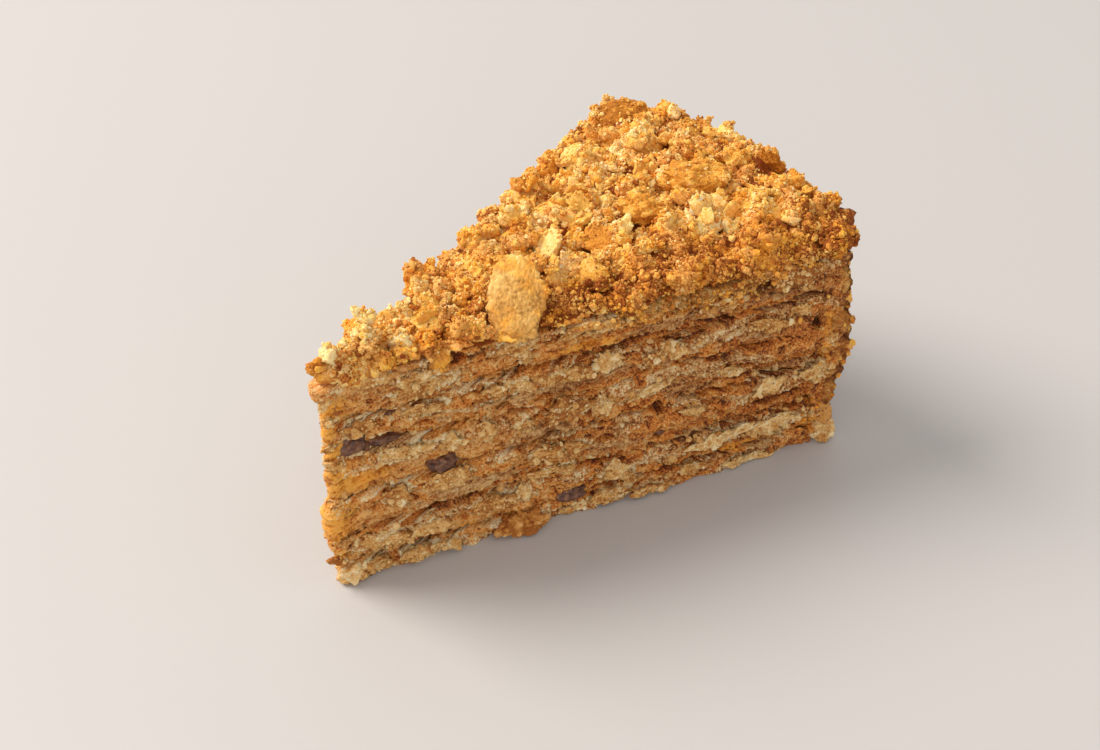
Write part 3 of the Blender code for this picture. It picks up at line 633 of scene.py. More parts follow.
bm = ring_wall(COAT_COLUMNS + 2 * COAT_END_COLUMNS + COAT_BACK_COLUMNS, COAT_ROWS, 1)
column = bm.verts.layers.int["column"]
row = bm.verts.layers.int["row"]
fields = []
for vert in bm.verts:
    number = vert[column]
    height = TOP_SHEET * vert[row] / COAT_ROWS - (GAP / 2 if vert[row] == COAT_ROWS else 0.0)
    outer = coat_radius(height)
    side = 0
    if number < COAT_COLUMNS:
        angle, part = HALF_ANGLE * (2.0 * number / COAT_COLUMNS - 1.0), 1.0
    elif number < COAT_COLUMNS + COAT_END_COLUMNS:
        angle, part, side = HALF_ANGLE, 1.0 - (number - COAT_COLUMNS + 0.5) / COAT_END_COLUMNS, 1
    elif number < COAT_COLUMNS + COAT_END_COLUMNS + COAT_BACK_COLUMNS:
        share = (number - COAT_COLUMNS - COAT_END_COLUMNS) / COAT_BACK_COLUMNS
        angle, part = HALF_ANGLE * (1.0 - 2.0 * share), 0.0
    else:
        part = (number - COAT_COLUMNS - COAT_END_COLUMNS - COAT_BACK_COLUMNS + 0.5) / COAT_END_COLUMNS
        angle, side = -HALF_ANGLE, -1
    way = level_way(angle)
    radius = COAT_INNER + (outer - COAT_INNER) * part
    point = way * radius + Vector((0.0, 0.0, height))
    high, shade = crumb_relief(point, ((6.0, 1.5), (2.5, 0.7), (1.1, 0.3)), 21.0)
    field = (0.0, 0.0, 0.25, 1.0, 0.45 + 0.5 * shade + 0.3 * noise.noise(point / 7.0))
    lean = 0.8 * crag(way * outer + Vector((0.0, 0.0, height)), 90.0) + 0.8 * high - 0.3
    lean -= 1.3 * abs(2.0 * vert[row] / COAT_ROWS - 1.0) ** 9
    if side:
        kind, layer, fraction = layer_at(min(height, TOP_SHEET - 0.1))
        relief, cut_field = layer_form(kind, layer, point, radius, side)
        sideways = layer_reach(kind, layer, point, radius, side, fraction) + relief + 0.1
        rim = smoothstep(0.35, 1.0, part + 0.25 * noise.noise(point / 2.5))
        sideways = sideways * (1.0 - rim) + (0.9 * high + 0.4 * crag(point, 95.0) - 0.9 * part ** 6) * rim
        if part < 0.04:
            radius -= 0.7 + 0.9 * noise.noise(point / 1.5)
        point = way * (radius + lean * part) + Vector((0.0, 0.0, height)) + cut_outward(side) * sideways
        field = tuple(near * (1.0 - rim) + far * rim for near, far in zip(cut_field, field))
    elif part > 0.0:
        point += way * lean
    vert.co = point
    fields.append(field)
coat = add_piece(bm, "rim_coat_cream", dict(zip(FIELDS, zip(*fields))),
                 torn_layer_material("caramel_cream_with_crumbs", 0.55))
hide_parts("rim_coat")

# The heap of crumbs on top. Baked trimmings of the same pastry, rubbed to crumbs and poured over the
# last sheet, so they lie packed, with a bank at each cut. What is finer than rice is relief here.
CRUMB_RADIUS = 126.0
HEAP_ROWS = 330
HEAP_COLUMNS = 210
HEAP_WALL_ROWS = 12


def depth_inside(x, y):
    """How far a point lies inside the nearer of the two cuts."""
    return x * math.sin(HALF_ANGLE) - abs(y) * math.cos(HALF_ANGLE)


def heap_height(place):
    """The solids' own form of the heap: it rises to the rim and falls off in a bank at each edge."""
    distance = place.length
    angle = math.atan2(place.y, place.x)
    height = 56.6 + 4.2 * smoothstep(35.0, 108.0, distance)
    hump = math.exp(-((angle - math.radians(7.0)) / math.radians(8.5)) ** 2)
    height += 2.4 * hump * smoothstep(92.0, 116.0, distance)
    drop, run = (4.4, 5.5) if place.y < 0.0 else (1.8, 4.0)
    depth = max(depth_inside(place.x, place.y), 0.0)
    height -= drop * smoothstep(0.0, 30.0, distance) * math.exp(-depth / run)
    height -= 1.6 * math.exp(-max(CRUMB_RADIUS - distance, 0.0) / 3.0)
    return height + 2.4 * noise.noise(place / 14.0) + 1.4 * noise.noise(place / 5.0)


# Drifts of paler and browner crumbs on the top: where each lies, its reach and its change of shade. The
# first is painted shade in the hollow at HOLLOW.
DRIFTS = (
    (71.0, -5.5, 3.4, -0.5), (71.0, -1.0, 2.2, 0.35), (102.6, 17.0, 4.5, 0.28), (105.9, -22.2, 4.0, 0.3),
    (113.0, -33.0, 7.0, -0.14), (22.0, 1.0, 8.0, 0.16), (8.0, 0.0, 7.0, 0.14), (58.0, 8.0, 5.0, -0.14),
    (97.0, -8.0, 3.0, -0.3), (100.0, -31.0, 6.0, 0.16), (84.0, 10.0, 5.0, 0.12),
)


def heap_shade(point):
    """How pale the crumbs are there: browner low on the near bank, which is painted shade, golden on top,
    with drifts of each.
    """
    depth = depth_inside(point.x, point.y)
    # near and low darken the near bank: painted shade, for the light comes from behind and the near bank
    # lies in shade.
    near = smoothstep(14.0, 3.0, depth) * smoothstep(22.0, 50.0, point.x) if point.y < 0.0 else 0.0
    low = smoothstep(58.0, 54.5, point.z) if point.y < 0.0 else 0.0
    shade = 0.62 + 0.32 * noise.noise(point / 9.0 + Vector((3.0, 1.0, 7.0))) - 0.32 * near - 0.2 * low
    shade += 0.22 * noise.noise(point / 3.2) - 0.1 * smoothstep(95.0, 120.0, point.x)
    for x, y, radius, change in DRIFTS:
        shade += change * math.exp(-((point.x - x) ** 2 + (point.y - y) ** 2) / radius ** 2)
    return shade


bm = bmesh.new()
bmesh.ops.create_grid(bm, x_segments=HEAP_ROWS, y_segments=HEAP_COLUMNS, size=0.5)
nominal = bm.verts.layers.float_vector.new("nominal")
step = bm.verts.layers.int.new("step")
for vert in bm.verts:
    distance = max(CRUMB_RADIUS * (vert.co.x + 0.5), 1.2 * (0.5 + abs(vert.co.y)))
    angle = 2.0 * HALF_ANGLE * vert.co.y
    vert.co = (distance * math.cos(angle), distance * math.sin(angle), 0.0)
bmesh.ops.remove_doubles(bm, verts=bm.verts, dist=0.02)
for vert in bm.verts:
    vert[nominal] = vert.co
loop = [edge for edge in bm.edges if edge.is_boundary]
for number in range(1, HEAP_WALL_ROWS + 1):
    lifted = bmesh.ops.extrude_edge_only(bm, edges=loop)["geom"]
    for item in lifted:
        if isinstance(item, bmesh.types.BMVert):
            item[step] = number
    loop = [item for item in lifted if isinstance(item, bmesh.types.BMEdge) and item.is_boundary]
bmesh.ops.holes_fill(bm, edges=[edge for edge in bm.edges if edge.is_boundary], sides=0)
shades = []
TOP_CRUMBS = ((7.0, 2.6), (2.6, 1.1), (0.95, 0.42))
HOLLOW = (71.0, -5.5)
CORNER_GAP = (117.5, 55.4)
for vert in bm.verts:
    place = Vector(vert[nominal])
    distance = place.length
    angle = math.atan2(place.y, place.x) if distance > 0.5 else 0.0
    fraction = 1.0 - vert[step] / HEAP_WALL_ROWS
    inside = depth_inside(place.x, place.y)
    edge = min(max(inside, 0.0), max(CRUMB_RADIUS - distance, 0.0))
    outward = cut_outward(math.copysign(1, angle)) * math.exp(-max(inside, 0.0) / 1.5)
    outward += level_way(angle) * math.exp((distance - CRUMB_RADIUS) / 1.5)
    corner = outward.length
    outward = (outward + Vector((-2.0, 0.0, 0.0)) * math.exp(-(distance / 3.0) ** 2)).normalized()
    level = TOP_SHEET + 5.0 * fraction
    low = TOP_SHEET + GAP / 2
    high = max(heap_height(place), TOP_SHEET + 1.8)
    point = Vector((place.x, place.y, low + (high - low) * fraction))
    hollow = math.exp(-((place.x - HOLLOW[0]) ** 2 + (place.y - HOLLOW[1]) ** 2) / 9.0)
    point.z -= 2.6 * hollow * fraction
    relief, shade = crumb_relief(point, TOP_CRUMBS, 40.0)
    gap = 0.0
    if place.y < 0.0:
        relief *= 1.0 - 0.45 * smoothstep(15.0, 4.0, inside) * smoothstep(40.0, 60.0, place.x)
        gap = math.exp(-((distance - CORNER_GAP[0]) / 2.4) ** 2 - ((point.z - CORNER_GAP[1]) / 1.5) ** 2)
    near_edge = math.exp(-edge / 0.8)
    out = 0.9 * math.sin(math.pi * fraction) - 0.9 * smoothstep(0.6, 1.0, fraction)
    out += 2.2 * crag(place + Vector((0.0, 0.0, level)), 40.0)
    out -= 2.8 * gap + 2.2 * smoothstep(1.15, 1.6, corner)
    point += outward * ((out + 0.9 * relief) * near_edge)
    if vert[step] == 0:
        point.z += relief * (1.0 - 0.6 * near_edge)
    elif vert[step] == HEAP_WALL_ROWS:
        point.z = low
    vert.co = point
    # Painted shade: darker in the corner gap, and in the hollows between crumbs through their shade.
    contrast = 0.7 - 0.35 * smoothstep(-26.0, -36.0, point.y)
    shades.append(heap_shade(point) + contrast * shade - 0.6 * gap)
heap = add_piece(bm, "crumb_heap", {"shade": shades}, crumb_finish)
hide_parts("crumb_topping")

# Broken flakes and clusters that lie on the heap, as large as berries. They are torn pastry, puffed
# in thin leaves and baked golden. Each keeps its solid's form, with leaves, pores and blisters added.
# Each has its middle, its half sizes, the ways of its length and its face, and its paleness.
FRONT_FLAKE = "topping_flake_front"
CHUNKS = {
    FRONT_FLAKE: (
        (43.9, -10.4, 58.9), (10.0, 6.0, 1.4), (0.53, 0.62, 0.58), (-0.50, -0.52, 0.70), 0.40),
    "topping_chunk_middle": (
        (104.0, -4.8, 61.4), (8.2, 6.0, 4.2), (0.74, -0.67, 0.0), (0.0, -0.2, 1.0), 0.50),
    "topping_chunk_yellow": (
        (87.4, -3.6, 60.2), (5.6, 4.0, 3.0), (0.75, -0.66, 0.0), (0.0, -0.2, 1.0), 0.48),
    "topping_chunk_back": (
        (113.6, 27.4, 61.0), (8.0, 5.6, 4.2), (0.72, -0.69, 0.0), (-0.3, -0.3, 1.0), 0.22),
    "topping_chunk_side": (
        (117.2, -5.2, 62.0), (4.2, 3.4, 2.8), (0.75, -0.66, 0.0), (0.0, 0.0, 1.0), 0.60),
    "topping_flake_back": (
        (122.6, -12.2, 62.0), (4.4, 3.2, 1.1), (-0.36, 0.34, 0.87), (0.70, 0.30, 0.62), 0.30),
}
chunks = []
for name, (centre, halves, length_way, face_way, paleness) in CHUNKS.items():
    front = name == FRONT_FLAKE
    flat = 0.3 if front else 1.0
    crumbs = ((1.5, 0.2), (0.6, 0.18)) if front else ((2.2, 0.5), (0.9, 0.35))
    bm = bmesh.new()
    bmesh.ops.create_icosphere(bm, subdivisions=6 if front else 5, radius=1.0)
    shades = []
    for vert in bm.verts:
        grown = vert.co * (1.0 + 0.32 * flat * noise.noise(vert.co * 1.9 + Vector((centre[0], 0.0, 0.0))))
        grown.z = math.copysign(abs(grown.z) ** 0.7, grown.z)
        point = Vector((grown.x * halves[0], grown.y * halves[1], grown.z * halves[2]))
        way = vert.co.normalized()
        leaf = noise.noise(Vector((point.x / 5.0, point.y / 5.0, point.z / 0.5 + centre[0])))
        blister = noise.noise(point / 2.2 + Vector((centre[1], 0.0, 0.0)))
        pore = smoothstep(0.30, 0.14, noise.voronoi(point / 1.5)[0][0]) * smoothstep(0.0, 0.3, blister)
        grit = noise.noise(point / 0.5)
        side = 1.0 - abs(way.z)
        out = 0.35 * leaf * side + flat * (0.3 * blister - 0.3 * pore) + 0.14 * grit - 0.1
        out += (1.3 - flat) * 1.1 * noise.noise(point / 1.3) * smoothstep(0.6, 0.1, abs(way.z))
        patch = noise.noise(point / 3.0 + Vector((7.0, 0.0, 0.0)))
        grain, shade = crumb_relief(point, crumbs, 70.0)
        vert.co = point + way * (out + grain)
        # Pores are darker: painted shade in them.
        tone = paleness + flat * (0.2 * blister - 0.15 * pore) + 0.2 * leaf * side + 0.14 * grit
        tone += 0.2 * patch + 0.3 * shade
        shades.append(tone + (1.0 - flat) * 0.32 * smoothstep(-0.1, 0.8, point.x / halves[0]))
    along = Vector(length_way).normalized()
    across = Vector(face_way).normalized().cross(along).normalized()
    turn = Matrix((along, across, along.cross(across))).transposed().to_4x4()
    if front:
        front_place = (Matrix.Translation(centre) @ turn).inverted()
    bm.transform(Matrix.Translation(centre) @ turn)
    piece = add_piece(bm, name.replace("topping", "baked"), {"shade": shades},
                      front_finish if front else chip_finish)
    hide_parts(name)
    chunks.append(piece)

# Loose crumbs. The clusters are the solids' own lumps, in the same places, and smaller crumbs lie
# between them and on them, stuck in the cream where the cut is torn. Each kind is one piece.
LUMP_SEED = 11
COAT_SEED = 5
TOP_LUMPS = 70
BANK_LUMPS = 16
TIP_LUMPS = 16
COAT_LUMPS = 26


def broken_planes(rng, count, upright=1.0):
    """Planes along which a piece has broken, each as its way and its distance from the middle."""
    planes = []
    for number in range(count):
        way = Vector((rng.gauss(0.0, 1.0), rng.gauss(0.0, 1.0) * upright, rng.gauss(0.0, 1.0))).normalized()
        planes.append((way, rng.uniform(0.55, 0.95)))
    return planes


def broken_reach(way, planes):
    """How far a broken piece of radius one reaches in a direction."""
    reach = 1.15
    for plane, distance in planes:
        slope = way.dot(plane)
        if slope > 0.05:
            reach = min(reach, distance / slope)
    return reach


def crumb_shapes(count, subdivisions, seed, thickness=1.0):
    """Crumbs of one millimetre's radius, as corners and faces, each broken along planes of its own.
    The finest start from a cube and the others from a ball, and chips are pressed flat.
    """
    shapes = []
    rng = random.Random(seed)
    for number in range(count):
        bm = bmesh.new()
        if subdivisions:
            bmesh.ops.create_icosphere(bm, subdivisions=subdivisions, radius=1.0)
        else:
            bmesh.ops.create_cube(bm, size=1.25)
            bmesh.ops.triangulate(bm, faces=bm.faces)
        shift = Vector((seed + number * 3.7, number * 1.3, 0.0))
        planes = broken_planes(rng, 9)
        for vert in bm.verts:
            size = 1.0 + 0.5 * noise.noise(vert.co * 1.3 + shift) + 0.35 * noise.noise(vert.co * 3.1 + shift)
            if subdivisions > 1:
                size = broken_reach(vert.co, planes) * (1.0 + 0.5 * (size - 1.0))
            if subdivisions > 2:
                grain = packed_cells(vert.co + shift, 0.38, 0.38, 0.0, Vector())
                size += 0.2 * (grain - 0.5) * (1.0 if thickness == 1.0 else 0.25)
            if subdivisions > 3:
                size += 0.07 * noise.noise(vert.co * 9.0 + shift)
            vert.co *= size
            if thickness < 1.0:
                vert.co.z = math.copysign(abs(vert.co.z) ** 0.6, vert.co.z) * thickness
        bmesh.ops.recalc_face_normals(bm, faces=bm.faces)
        corners = np.array([vert.co for vert in bm.verts], np.float32)
        faces = np.array([[vert.index for vert in face.verts] for face in bm.faces], np.int32)
        bm.free()
        shapes.append((corners, faces))
    return shapes


def scatter(name, shapes, places, material, smooth=True):
    """Joins crumbs into one piece. A place is a centre, a radius, a squash, a turn and a shade."""
    corners, faces, shades, start = [], [], [], 0
    for number, (centre, radius, squash, turn, shade) in enumerate(places):
        shape, triangles = shapes[number % len(shapes)]
        matrix = np.array(turn.to_matrix() @ Matrix.Diagonal((radius, radius, radius * squash)), np.float32)
        corners.append(shape @ matrix.T + np.array(centre, np.float32))
        faces.append(triangles + start)
        shades.append(np.full(len(shape), shade, np.float32))
        start += len(shape)
    corners = (np.concatenate(corners) + np.array(TIP, np.float32)) * METRES
    mesh = bpy.data.meshes.new(name)
    mesh.from_pydata(corners.tolist(), [], np.concatenate(faces).tolist())
    return finish_piece(mesh, name, {"shade": np.concatenate(shades)}, material, smooth)


def flat_turn(normal, rng):
    """Lays a crumb's short way along the surface's normal, turned any way round it."""
    lean = (normal + Vector([rng.uniform(-0.4, 0.4) for _ in range(3)])).normalized()
    around = Matrix.Rotation(rng.uniform(0.0, math.tau), 3, "Z").to_quaternion()
    return lean.to_track_quat("Z", "Y") @ around


def knocked_lump(radius, rng):
    """A lump's mean radius, squash and turn, by the same draws as the solids' knocks."""
    size = radius * sum(rng.uniform(0.78, 1.18) for _ in range(12)) / 12
    turn = Matrix.Rotation(rng.uniform(0.0, math.tau), 4, "Z")
    turn @= Matrix.Rotation(rng.uniform(0.0, 1.0), 4, "X")
    return size, 0.85, turn.to_quaternion()


def drawn_size(sizes, power, rng):
    """A crumb's radius between two sizes. The higher the power, the fewer large ones."""
    return sizes[0] + (sizes[1] - sizes[0]) * rng.random() ** power


def stuck_crumb(middle, normal, radius, flattest, shade, rng):
    """A crumb on a surface, more or less flat and with its short way along the surface's normal."""
    return middle, radius, rng.uniform(flattest, flattest + 0.4), flat_turn(normal, rng), shade


def lump_places():
    """The solids' lumps on the heap, drawn in the same order, so that they lie where the solids do."""
    rng = random.Random(LUMP_SEED)
    tint = random.Random(3)
    taken = [Vector(values[0]).xy for values in CHUNKS.values()]
    found = []
    for number in range(TOP_LUMPS):
        radius = 4.8 - 2.8 * (number / TOP_LUMPS) ** 0.4
        best = None
        for _ in range(14):
            distance = CRUMB_RADIUS * math.sqrt(rng.uniform(0.002, 0.98))
            angle = HALF_ANGLE * rng.uniform(-0.97, 0.97)
            spot = Vector((distance * math.cos(angle), distance * math.sin(angle)))
            room = min((spot - other).length for other in taken)
            if best is None or room > best[0]:
                best = (room, spot)
        taken.append(best[1])
        place = best[1].to_3d()
        place.z = heap_height(place) - 0.3 * radius
        found.append((place, *knocked_lump(1.15 * radius, rng), heap_shade(place) + tint.gauss(0.0, 0.07)))
    for number in range(BANK_LUMPS):
        along = 8.0 + 114.0 * (number + rng.uniform(0.2, 0.8)) / BANK_LUMPS
        place = on_cut(-1, along, rng.uniform(-0.6, 0.5), rng.uniform(54.6, 56.6))
        radius = 2.1 * rng.uniform(0.8, 1.3)
        found.append((place, *knocked_lump(1.15 * radius, rng), heap_shade(place) + tint.gauss(0.0, 0.07)))
    front = Vector(CHUNKS[FRONT_FLAKE][0])
    pocket = Vector((27.0, -9.2, 55.0))
    found = [values for values in found if (values[0] - pocket).length > 4.5
             and ((values[0] - front).length > 9.5 or values[0].y > front.y + 3.0)]
    for number in range(TIP_LUMPS):
        along = tint.uniform(-2.6, 15.0)
        aside = tint.uniform(-0.3, 0.3) * max(along, 2.0)
        place = Vector((along, aside, 56.2 + 0.17 * max(along, 0.0) + tint.uniform(-1.6, 1.6)))
        radius = tint.uniform(1.3, 2.4)
        turn = flat_turn(Vector((0.0, 0.0, 1.0)), tint)
        found.append((place, radius, 0.9, turn, 0.5 + tint.gauss(0.0, 0.12)))
    return found


cluster_shapes = crumb_shapes(12, 4, 5)
clusters = scatter("crumb_clusters", cluster_shapes, lump_places(), crumb_finish)

rng = random.Random(COAT_SEED)
pressed = []
for number in range(COAT_LUMPS):
    radius = rng.uniform(2.2, 3.8)
    angle = HALF_ANGLE * (2.0 * (number + 0.5) / COAT_LUMPS - 1.0)
    height = 3.8 + (TOP_SHEET - 7.6) * ((number * 0.382 + 0.1) % 1.0)
    knocked = knocked_lump(radius, rng)
    distance = coat_radius(height) - 0.5 * radius
    centre = Vector((distance * math.cos(angle), distance * math.sin(angle), height))
    pressed.append((centre, *knocked, rng.uniform(0.2, 0.8)))
scatter("pressed_clusters", cluster_shapes, pressed, lump_finish)


def on_front_flake(spot, margin):
    """Whether a point lies on the front flake, or within a margin of its outline."""
    local = front_place @ spot
    return math.hypot(local.x / (9.6 + margin), local.y / (5.9 + margin)) < 1.0 and abs(local.z) < 6.0


def top_places(count, sizes, sunk, tree, seed, clear, spread=0.15):
    """Crumbs dropped on the top: each falls on what it meets there and sinks in a little. Few lie on the
    clear places, each a middle and a reach.
    """
    rng = random.Random(seed)
    found = []
    while len(found) < count:
        distance = (CRUMB_RADIUS + 1.0) * math.sqrt(rng.uniform(0.0002, 1.0))
        angle = HALF_ANGLE * rng.uniform(-1.0, 1.02)
        above = Vector((distance * math.cos(angle), distance * math.sin(angle), 90.0))
        spot, normal, index, drop = tree.ray_cast(above, Vector((0.0, 0.0, -1.0)))
        if spot is None or spot.z < TOP_SHEET - 1.0:
            continue
        radius = drawn_size(sizes, 2.2, rng)
        covered = any((spot - middle).length < reach + 0.6 * radius for middle, reach in clear)
        if covered and rng.random() < 0.86 or on_front_flake(spot, 0.8 * radius):
            continue
        near_cut = depth_inside(spot.x, spot.y) < 8.0 and radius > 1.0
        if near_cut and rng.random() < (1.0 if sizes[1] > 3.0 else 0.6):
            continue
        shade = heap_shade(spot) + rng.gauss(0.0, spread)
        found.append(stuck_crumb(spot + normal * (radius * (0.5 - sunk)), normal, radius, 0.6, shade, rng))
    return found


clear = [(Vector(centre), 0.8 * halves[0]) for centre, halves, *ways in list(CHUNKS.values())[1:]]
on_heap = wall_trees([heap, clusters, *chunks])
wider = [(middle, reach + 3.0) for middle, reach in clear]
chip_places = top_places(56, (1.5, 3.8), 0.3, on_heap, 31, wider, 0.12)
chips = scatter("golden_chips", crumb_shapes(16, 4, 211, 0.3), chip_places, chip_finish)
clear += [(centre, 0.75 * radius) for centre, radius, *rest in chip_places if radius > 1.8]
large_crumbs = scatter("large_crumbs", crumb_shapes(18, 3, 31),
                       top_places(330, (1.1, 2.9), 0.4, on_heap, 21, clear), crumb_finish)
on_heap = wall_trees([heap, clusters, large_crumbs, chips, *chunks])
small_crumbs = scatter("small_crumbs", crumb_shapes(20, 2, 57),
                       top_places(1900, (0.4, 1.1), 0.2, on_heap, 22, clear, 0.16),
                       crumb_finish, smooth=False)
on_heap = wall_trees([heap, clusters, large_crumbs, small_crumbs, chips, *chunks])
scatter("fine_crumbs", crumb_shapes(40, 0, 83),
        top_places(13000, (0.18, 0.45), 0.1, on_heap, 23, clear, 0.19), crumb_finish, smooth=False)

# A sliver that stands on the top. It is the pale middle of a pastry leaf, broken off lengthwise. It is
# a long thin ball with a rough skin.
bm = bmesh.new()
bmesh.ops.create_icosphere(bm, subdivisions=4, radius=1.0)
for vert in bm.verts:
    way = vert.co.copy()
    vert.co = Vector((way.x, way.y * 0.45, way.z * 2.9)) * (1.0 + 0.35 * noise.noise(way * 1.5))
    vert.co += way * (0.15 * noise.noise(vert.co / 0.5))
spot = Vector((94.4, -14.2, 0.0))
spot.z = heap_height(spot) + 2.2
bm.transform(Matrix.Translation(spot) @ Matrix.Rotation(-0.9, 4, "Z") @ Matrix.Rotation(0.35, 4, "Y"))
add_piece(bm, "pale_sliver", {"shade": [1.0] * len(bm.verts)}, flake_finish)

# Torn flakes and crumbs of the cuts. The flakes are bare leaves of the sheets that hang out of the near
# cut where it shows them, thin plates with a ragged outline. The crumbs stick round them.


def cut_places(count, sizes, tree, seed):
    """Crumbs stuck to the cuts: thick round the torn flakes and by the rim, few and brown on the cream."""
    rng = random.Random(seed)
    found = []
    while len(found) < count:
        side = rng.choice((-1, -1, 1))
        along, height = rng.uniform(1.5, 126.0), rng.uniform(0.6, 55.0)
        place = on_cut(side, along, 0.0, height)
        if side < 0:
            torn = smoothstep(-0.9, -0.1, mark(FLAKES, place, along, 0.0)[0])
        else:
            torn = smoothstep(-0.1, 0.3, grains(place, 6.0, 2.6, 7.0))
        if rng.random() > max(0.16, torn, 0.6 * smoothstep(116.0, 119.0, along)):
            continue
        spot, normal, drop = meet_cut(tree, side, along, height)
        if spot is None or depth_inside(spot.x, spot.y) > 4.0 or on_front_flake(spot, 0.0):
            continue
        radius = drawn_size(sizes, 2.5, rng)
        middle = spot + normal * (radius * 0.1)
        if middle.z < radius:
            continue
        shade = 0.12 + 0.32 * torn + rng.gauss(0.0, 0.16)
        found.append(stuck_crumb(middle, normal, radius, 0.5, shade, rng))
    return found


cut_tree = wall_trees([heap, coat, *walls])
torn_flakes = []
rng = random.Random(77)
for kind, subdivisions, low, high in (("large", 5, 5.0, 99.0), ("small", 4, 0.0, 5.0)):
    bm = bmesh.new()
    shades = []
    for along, height, half_length, half_height in FLAKES:
        if not low <= half_length < high:
            continue
        salt = along * 1.7 + height
        reaches = []
        for share in (-0.7, -0.35, 0.0, 0.35, 0.7):
            spot, normal, drop = meet_cut(cut_tree, -1, max(along + share * half_length, 1.6), height)
            reaches.append(CLEAR_OF_CUT - drop if spot else 0.0)
        stand = sorted(reaches)[3]
        planes = broken_planes(rng, 10, 0.3)
        tone = 0.50 + rng.gauss(0.0, 0.13) - (0.2 if along > 100.0 and height > 48.0 else 0.0)
        tone += 0.14 * smoothstep(85.0, 100.0, along) * smoothstep(32.0, 24.0, height)
        made = bmesh.ops.create_icosphere(bm, subdivisions=subdivisions, radius=1.0)["verts"]
        for vert in made:
            way = vert.co.copy()
            turn = math.atan2(way.z * half_height, way.x * half_length)
            rim = Vector((math.cos(turn), math.sin(turn), salt))
            ragged = 1.0 + 0.3 * noise.noise(rim * 1.3) + 0.35 * noise.noise(rim * 3.5)
            ragged += 0.25 * noise.noise(rim * 8.0)
            grown = way * broken_reach(way, planes)
            thick = 0.6 * math.copysign(abs(grown.y) ** 0.5, grown.y)
            point = Vector((grown.x * half_length * 1.15 * ragged, thick,
                            grown.z * half_height * 1.2 * ragged))
            point.z += 0.7 * noise.noise(Vector((point.x / 3.5, salt, 0.0)))
            point.y += 1.0 * noise.noise(Vector((point.x / 4.0, salt, point.z / 3.0)))
            grain, shade = crumb_relief(point + Vector((salt, 0.0, 0.0)), ((1.8, 0.16), (0.7, 0.2)), 60.0)
            leaf = noise.noise(Vector((point.x / 2.5, salt, point.z / 0.6)))
            dust = noise.noise(point / 0.45)
            vert.co = point + way * (grain + 0.25 * leaf + 0.15 * dust)
            shades.append(tone + 0.25 * shade + 0.2 * leaf + 0.2 * dust + 0.2 * noise.noise(point / 2.5))
        lean = Matrix.Rotation(rng.uniform(-0.14, 0.14), 4, "Y")
        lean @= Matrix.Rotation(rng.uniform(-0.4, 0.1), 4, "X")
        place = turned_at(on_cut(-1, along, stand + 0.2, height))
        bmesh.ops.transform(bm, matrix=place @ lean, verts=made)
        for vert in made:
            vert.co.z = max(vert.co.z, 0.05)
    torn_flakes.append(add_piece(bm, f"{kind}_torn_flakes", {"shade": shades}, flake_finish))

on_cuts = wall_trees([heap, coat, clusters, *walls, *torn_flakes])
scatter("cut_crumbs", crumb_shapes(20, 2, 107), cut_places(1200, (0.4, 1.15), on_cuts, 24),
        flake_finish, smooth=False)
scatter("cut_fine_crumbs", crumb_shapes(40, 0, 131), cut_places(5000, (0.16, 0.4), on_cuts, 25),
        flake_finish, smooth=False)

# Crumbs of the banks and of the rim. They are the same crumbs as on the heap, run down over the upper
# layers at the cuts, and pressed into the coat all round the rim.


def bank_places(count, sizes, tree, seed):
    """Crumbs that have run down from the top over the upper layers at the cuts, most at the near one."""
    rng = random.Random(seed)
    found = []
    while len(found) < count:
        side = rng.choice((-1, -1, -1, 1))
        along = rng.uniform(3.0, 122.0)
        lowest = 51.5
        if side < 0:
            lowest = 54.0 - 2.0 * smoothstep(48.0, 56.0, along)
            lowest -= 4.5 * smoothstep(58.0, 68.0, along) * smoothstep(108.0, 100.0, along)
        height = rng.uniform(lowest, 60.0) + 1.5 * noise.noise(Vector((along / 3.0, 0.0, 5.0)))
        spot, normal, drop = meet_cut(tree, side, along, height)
        if spot is None or depth_inside(spot.x, spot.y) > 9.0 or on_front_flake(spot, 0.0):
            continue
        radius = drawn_size(sizes, 2.0, rng)
        # On the near cut the crumbs get a lower shade: browner crumbs, and painted shade of the near bank,
        # which lies in shade.
        shade = (0.36 if side < 0 else 0.55) + 0.25 * noise.noise(spot / 6.0) + rng.gauss(0.0, 0.17)
        found.append(stuck_crumb(spot + normal * (radius * 0.3), normal, radius, 0.6, shade, rng))
    return found


scatter("bank_crumbs", crumb_shapes(20, 2, 151), bank_places(900, (0.35, 0.95), on_cuts, 26),
        crumb_finish, smooth=False)
scatter("bank_fine_crumbs", crumb_shapes(40, 0, 171), bank_places(6000, (0.16, 0.42), on_cuts, 27),
        crumb_finish, smooth=False)


def rim_places(count, sizes, tree, seed):
    """Crumbs pressed into the coat all round the rim."""
    rng = random.Random(seed)
    found = []
    while len(found) < count:
        angle = HALF_ANGLE * rng.uniform(-1.04, 1.04)
        height = rng.uniform(0.8, 57.0)
        way = level_way(angle)
        spot, normal, index, drop = tree.ray_cast(way * 150.0 + Vector((0.0, 0.0, height)), -way)
        if spot is None or spot.length < 110.0:
            continue
        radius = drawn_size(sizes, 2.0, rng)
        middle = spot + normal * (radius * 0.2)
        if middle.z < radius:
            continue
        shade = 0.42 + 0.3 * noise.noise(spot / 5.0) + rng.gauss(0.0, 0.17)
        found.append(stuck_crumb(middle, normal, radius, 0.6, shade, rng))
    return found


scatter("rim_crumbs", crumb_shapes(24, 1, 191), rim_places(2200, (0.35, 1.1), on_cuts, 28),
        crumb_finish, smooth=False)

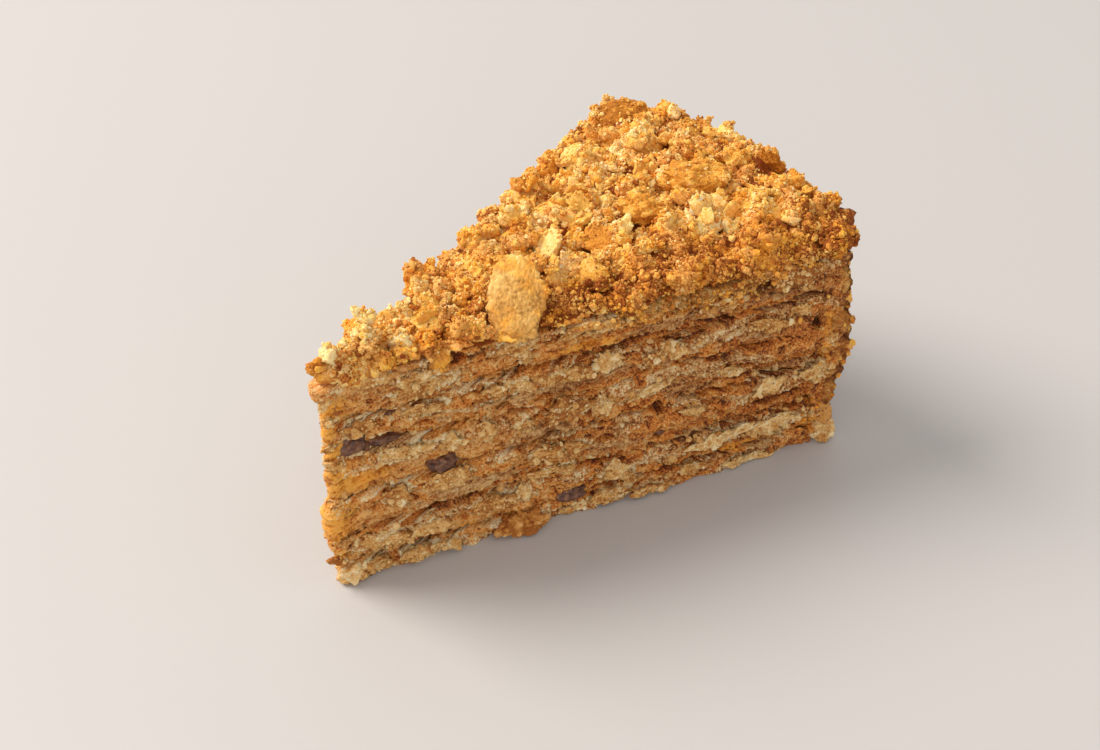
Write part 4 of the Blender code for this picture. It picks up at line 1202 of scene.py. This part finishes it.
# Lumps at the foot of the near cut: a pale crumb at the tip, cream squeezed out under the lowest
# sheet, and a pale crumb at the rim's corner. They rest on the table, flat below.
# Each has its place along the cut, out of it and up, its half sizes, its paleness and its slot.
FOOT_LUMPS = {
    "tip_crumb": ((3.4, 0.5, 2.6), (3.3, 2.5, 3.0), 0.70, "pastry"),
    "foot_cream": ((43.0, 1.2, 2.2), (6.0, 2.9, 2.8), 0.48, "cream"),
    "corner_crumb": ((123.2, -0.2, 2.6), (3.4, 2.7, 3.4), 0.85, "crumb"),
}
for name, ((along, out, height), halves, paleness, slot) in FOOT_LUMPS.items():
    bm = bmesh.new()
    bmesh.ops.create_icosphere(bm, subdivisions=5, radius=1.0)
    spot = on_cut(-1, along, out, height)
    shades = []
    for vert in bm.verts:
        grown = vert.co * (1.0 + 0.35 * noise.noise(vert.co * 1.7 + spot))
        point = Vector((grown.x * halves[0], grown.y * halves[1], grown.z * halves[2]))
        high, shade = crumb_relief(point, ((2.4, 0.9), (1.0, 0.45)), along)
        vert.co = point + vert.co.normalized() * high
        shades.append(paleness + 0.45 * shade)
    bm.transform(turned_at(spot))
    for vert in bm.verts:
        vert.co.z = max(vert.co.z, 0.02)
    add_piece(bm, name, {"shade": shades}, lump_finish if name == "foot_cream" else flake_finish)

# The pale stone table top that it stands on, the studio light and the camera of the photograph.
# The light is a large soft window behind and to the left, with a weak fill from the front.
bm = bmesh.new()
bmesh.ops.create_grid(bm, x_segments=2, y_segments=2, size=3.0)
mesh = bpy.data.meshes.new("floor")
bm.to_mesh(mesh)
bm.free()
floor = bpy.data.objects.new("floor", mesh)
bpy.context.collection.objects.link(floor)
material, tree, shader = new_material("pale_floor")
set_inputs(tree, shader, {"Base Color": hex_colour("#BEBAB6"), "Roughness": 0.55})
mesh.materials.append(material)

VIEW_FROM = TIP * METRES + Vector((-0.1323, -0.2079, 0.2306))
VIEW_WAY = Vector((0.555, 0.590, -0.586))
lens = bpy.data.cameras.new("camera")
lens.lens = 50.0
lens.sensor_width = 36.0
lens.clip_start = 0.01
camera = bpy.data.objects.new("camera", lens)
bpy.context.collection.objects.link(camera)
camera.location = VIEW_FROM
camera.rotation_euler = VIEW_WAY.to_track_quat("-Z", "Y").to_euler()
bpy.context.scene.camera = camera


def add_light(name, place, size, power, colour):
    lamp = bpy.data.lights.new(name, "AREA")
    lamp.shape = "DISK"
    lamp.size = size
    lamp.energy = power
    lamp.color = hex_colour(colour)[:3]
    light = bpy.data.objects.new(name, lamp)
    bpy.context.collection.objects.link(light)
    light.location = place
    light.rotation_euler = (Vector((0.0, 0.0, 0.03)) - Vector(place)).to_track_quat("-Z", "Y").to_euler()
    return light


add_light("key_window", (-1.0, 1.65, 1.87), 1.7, 84.0, "#FFFAF4")
add_light("fill", (-1.4, -1.5, 1.0), 1.4, 12.0, "#FFFAF6")
world = bpy.data.worlds.new("studio")
bpy.context.scene.world = world
world.use_nodes = True
backdrop = world.node_tree.nodes["Background"]
backdrop.inputs["Color"].default_value = hex_colour("#F2F0F0")
backdrop.inputs["Strength"].default_value = 0.72
bpy.context.scene.view_settings.view_transform = "Standard"
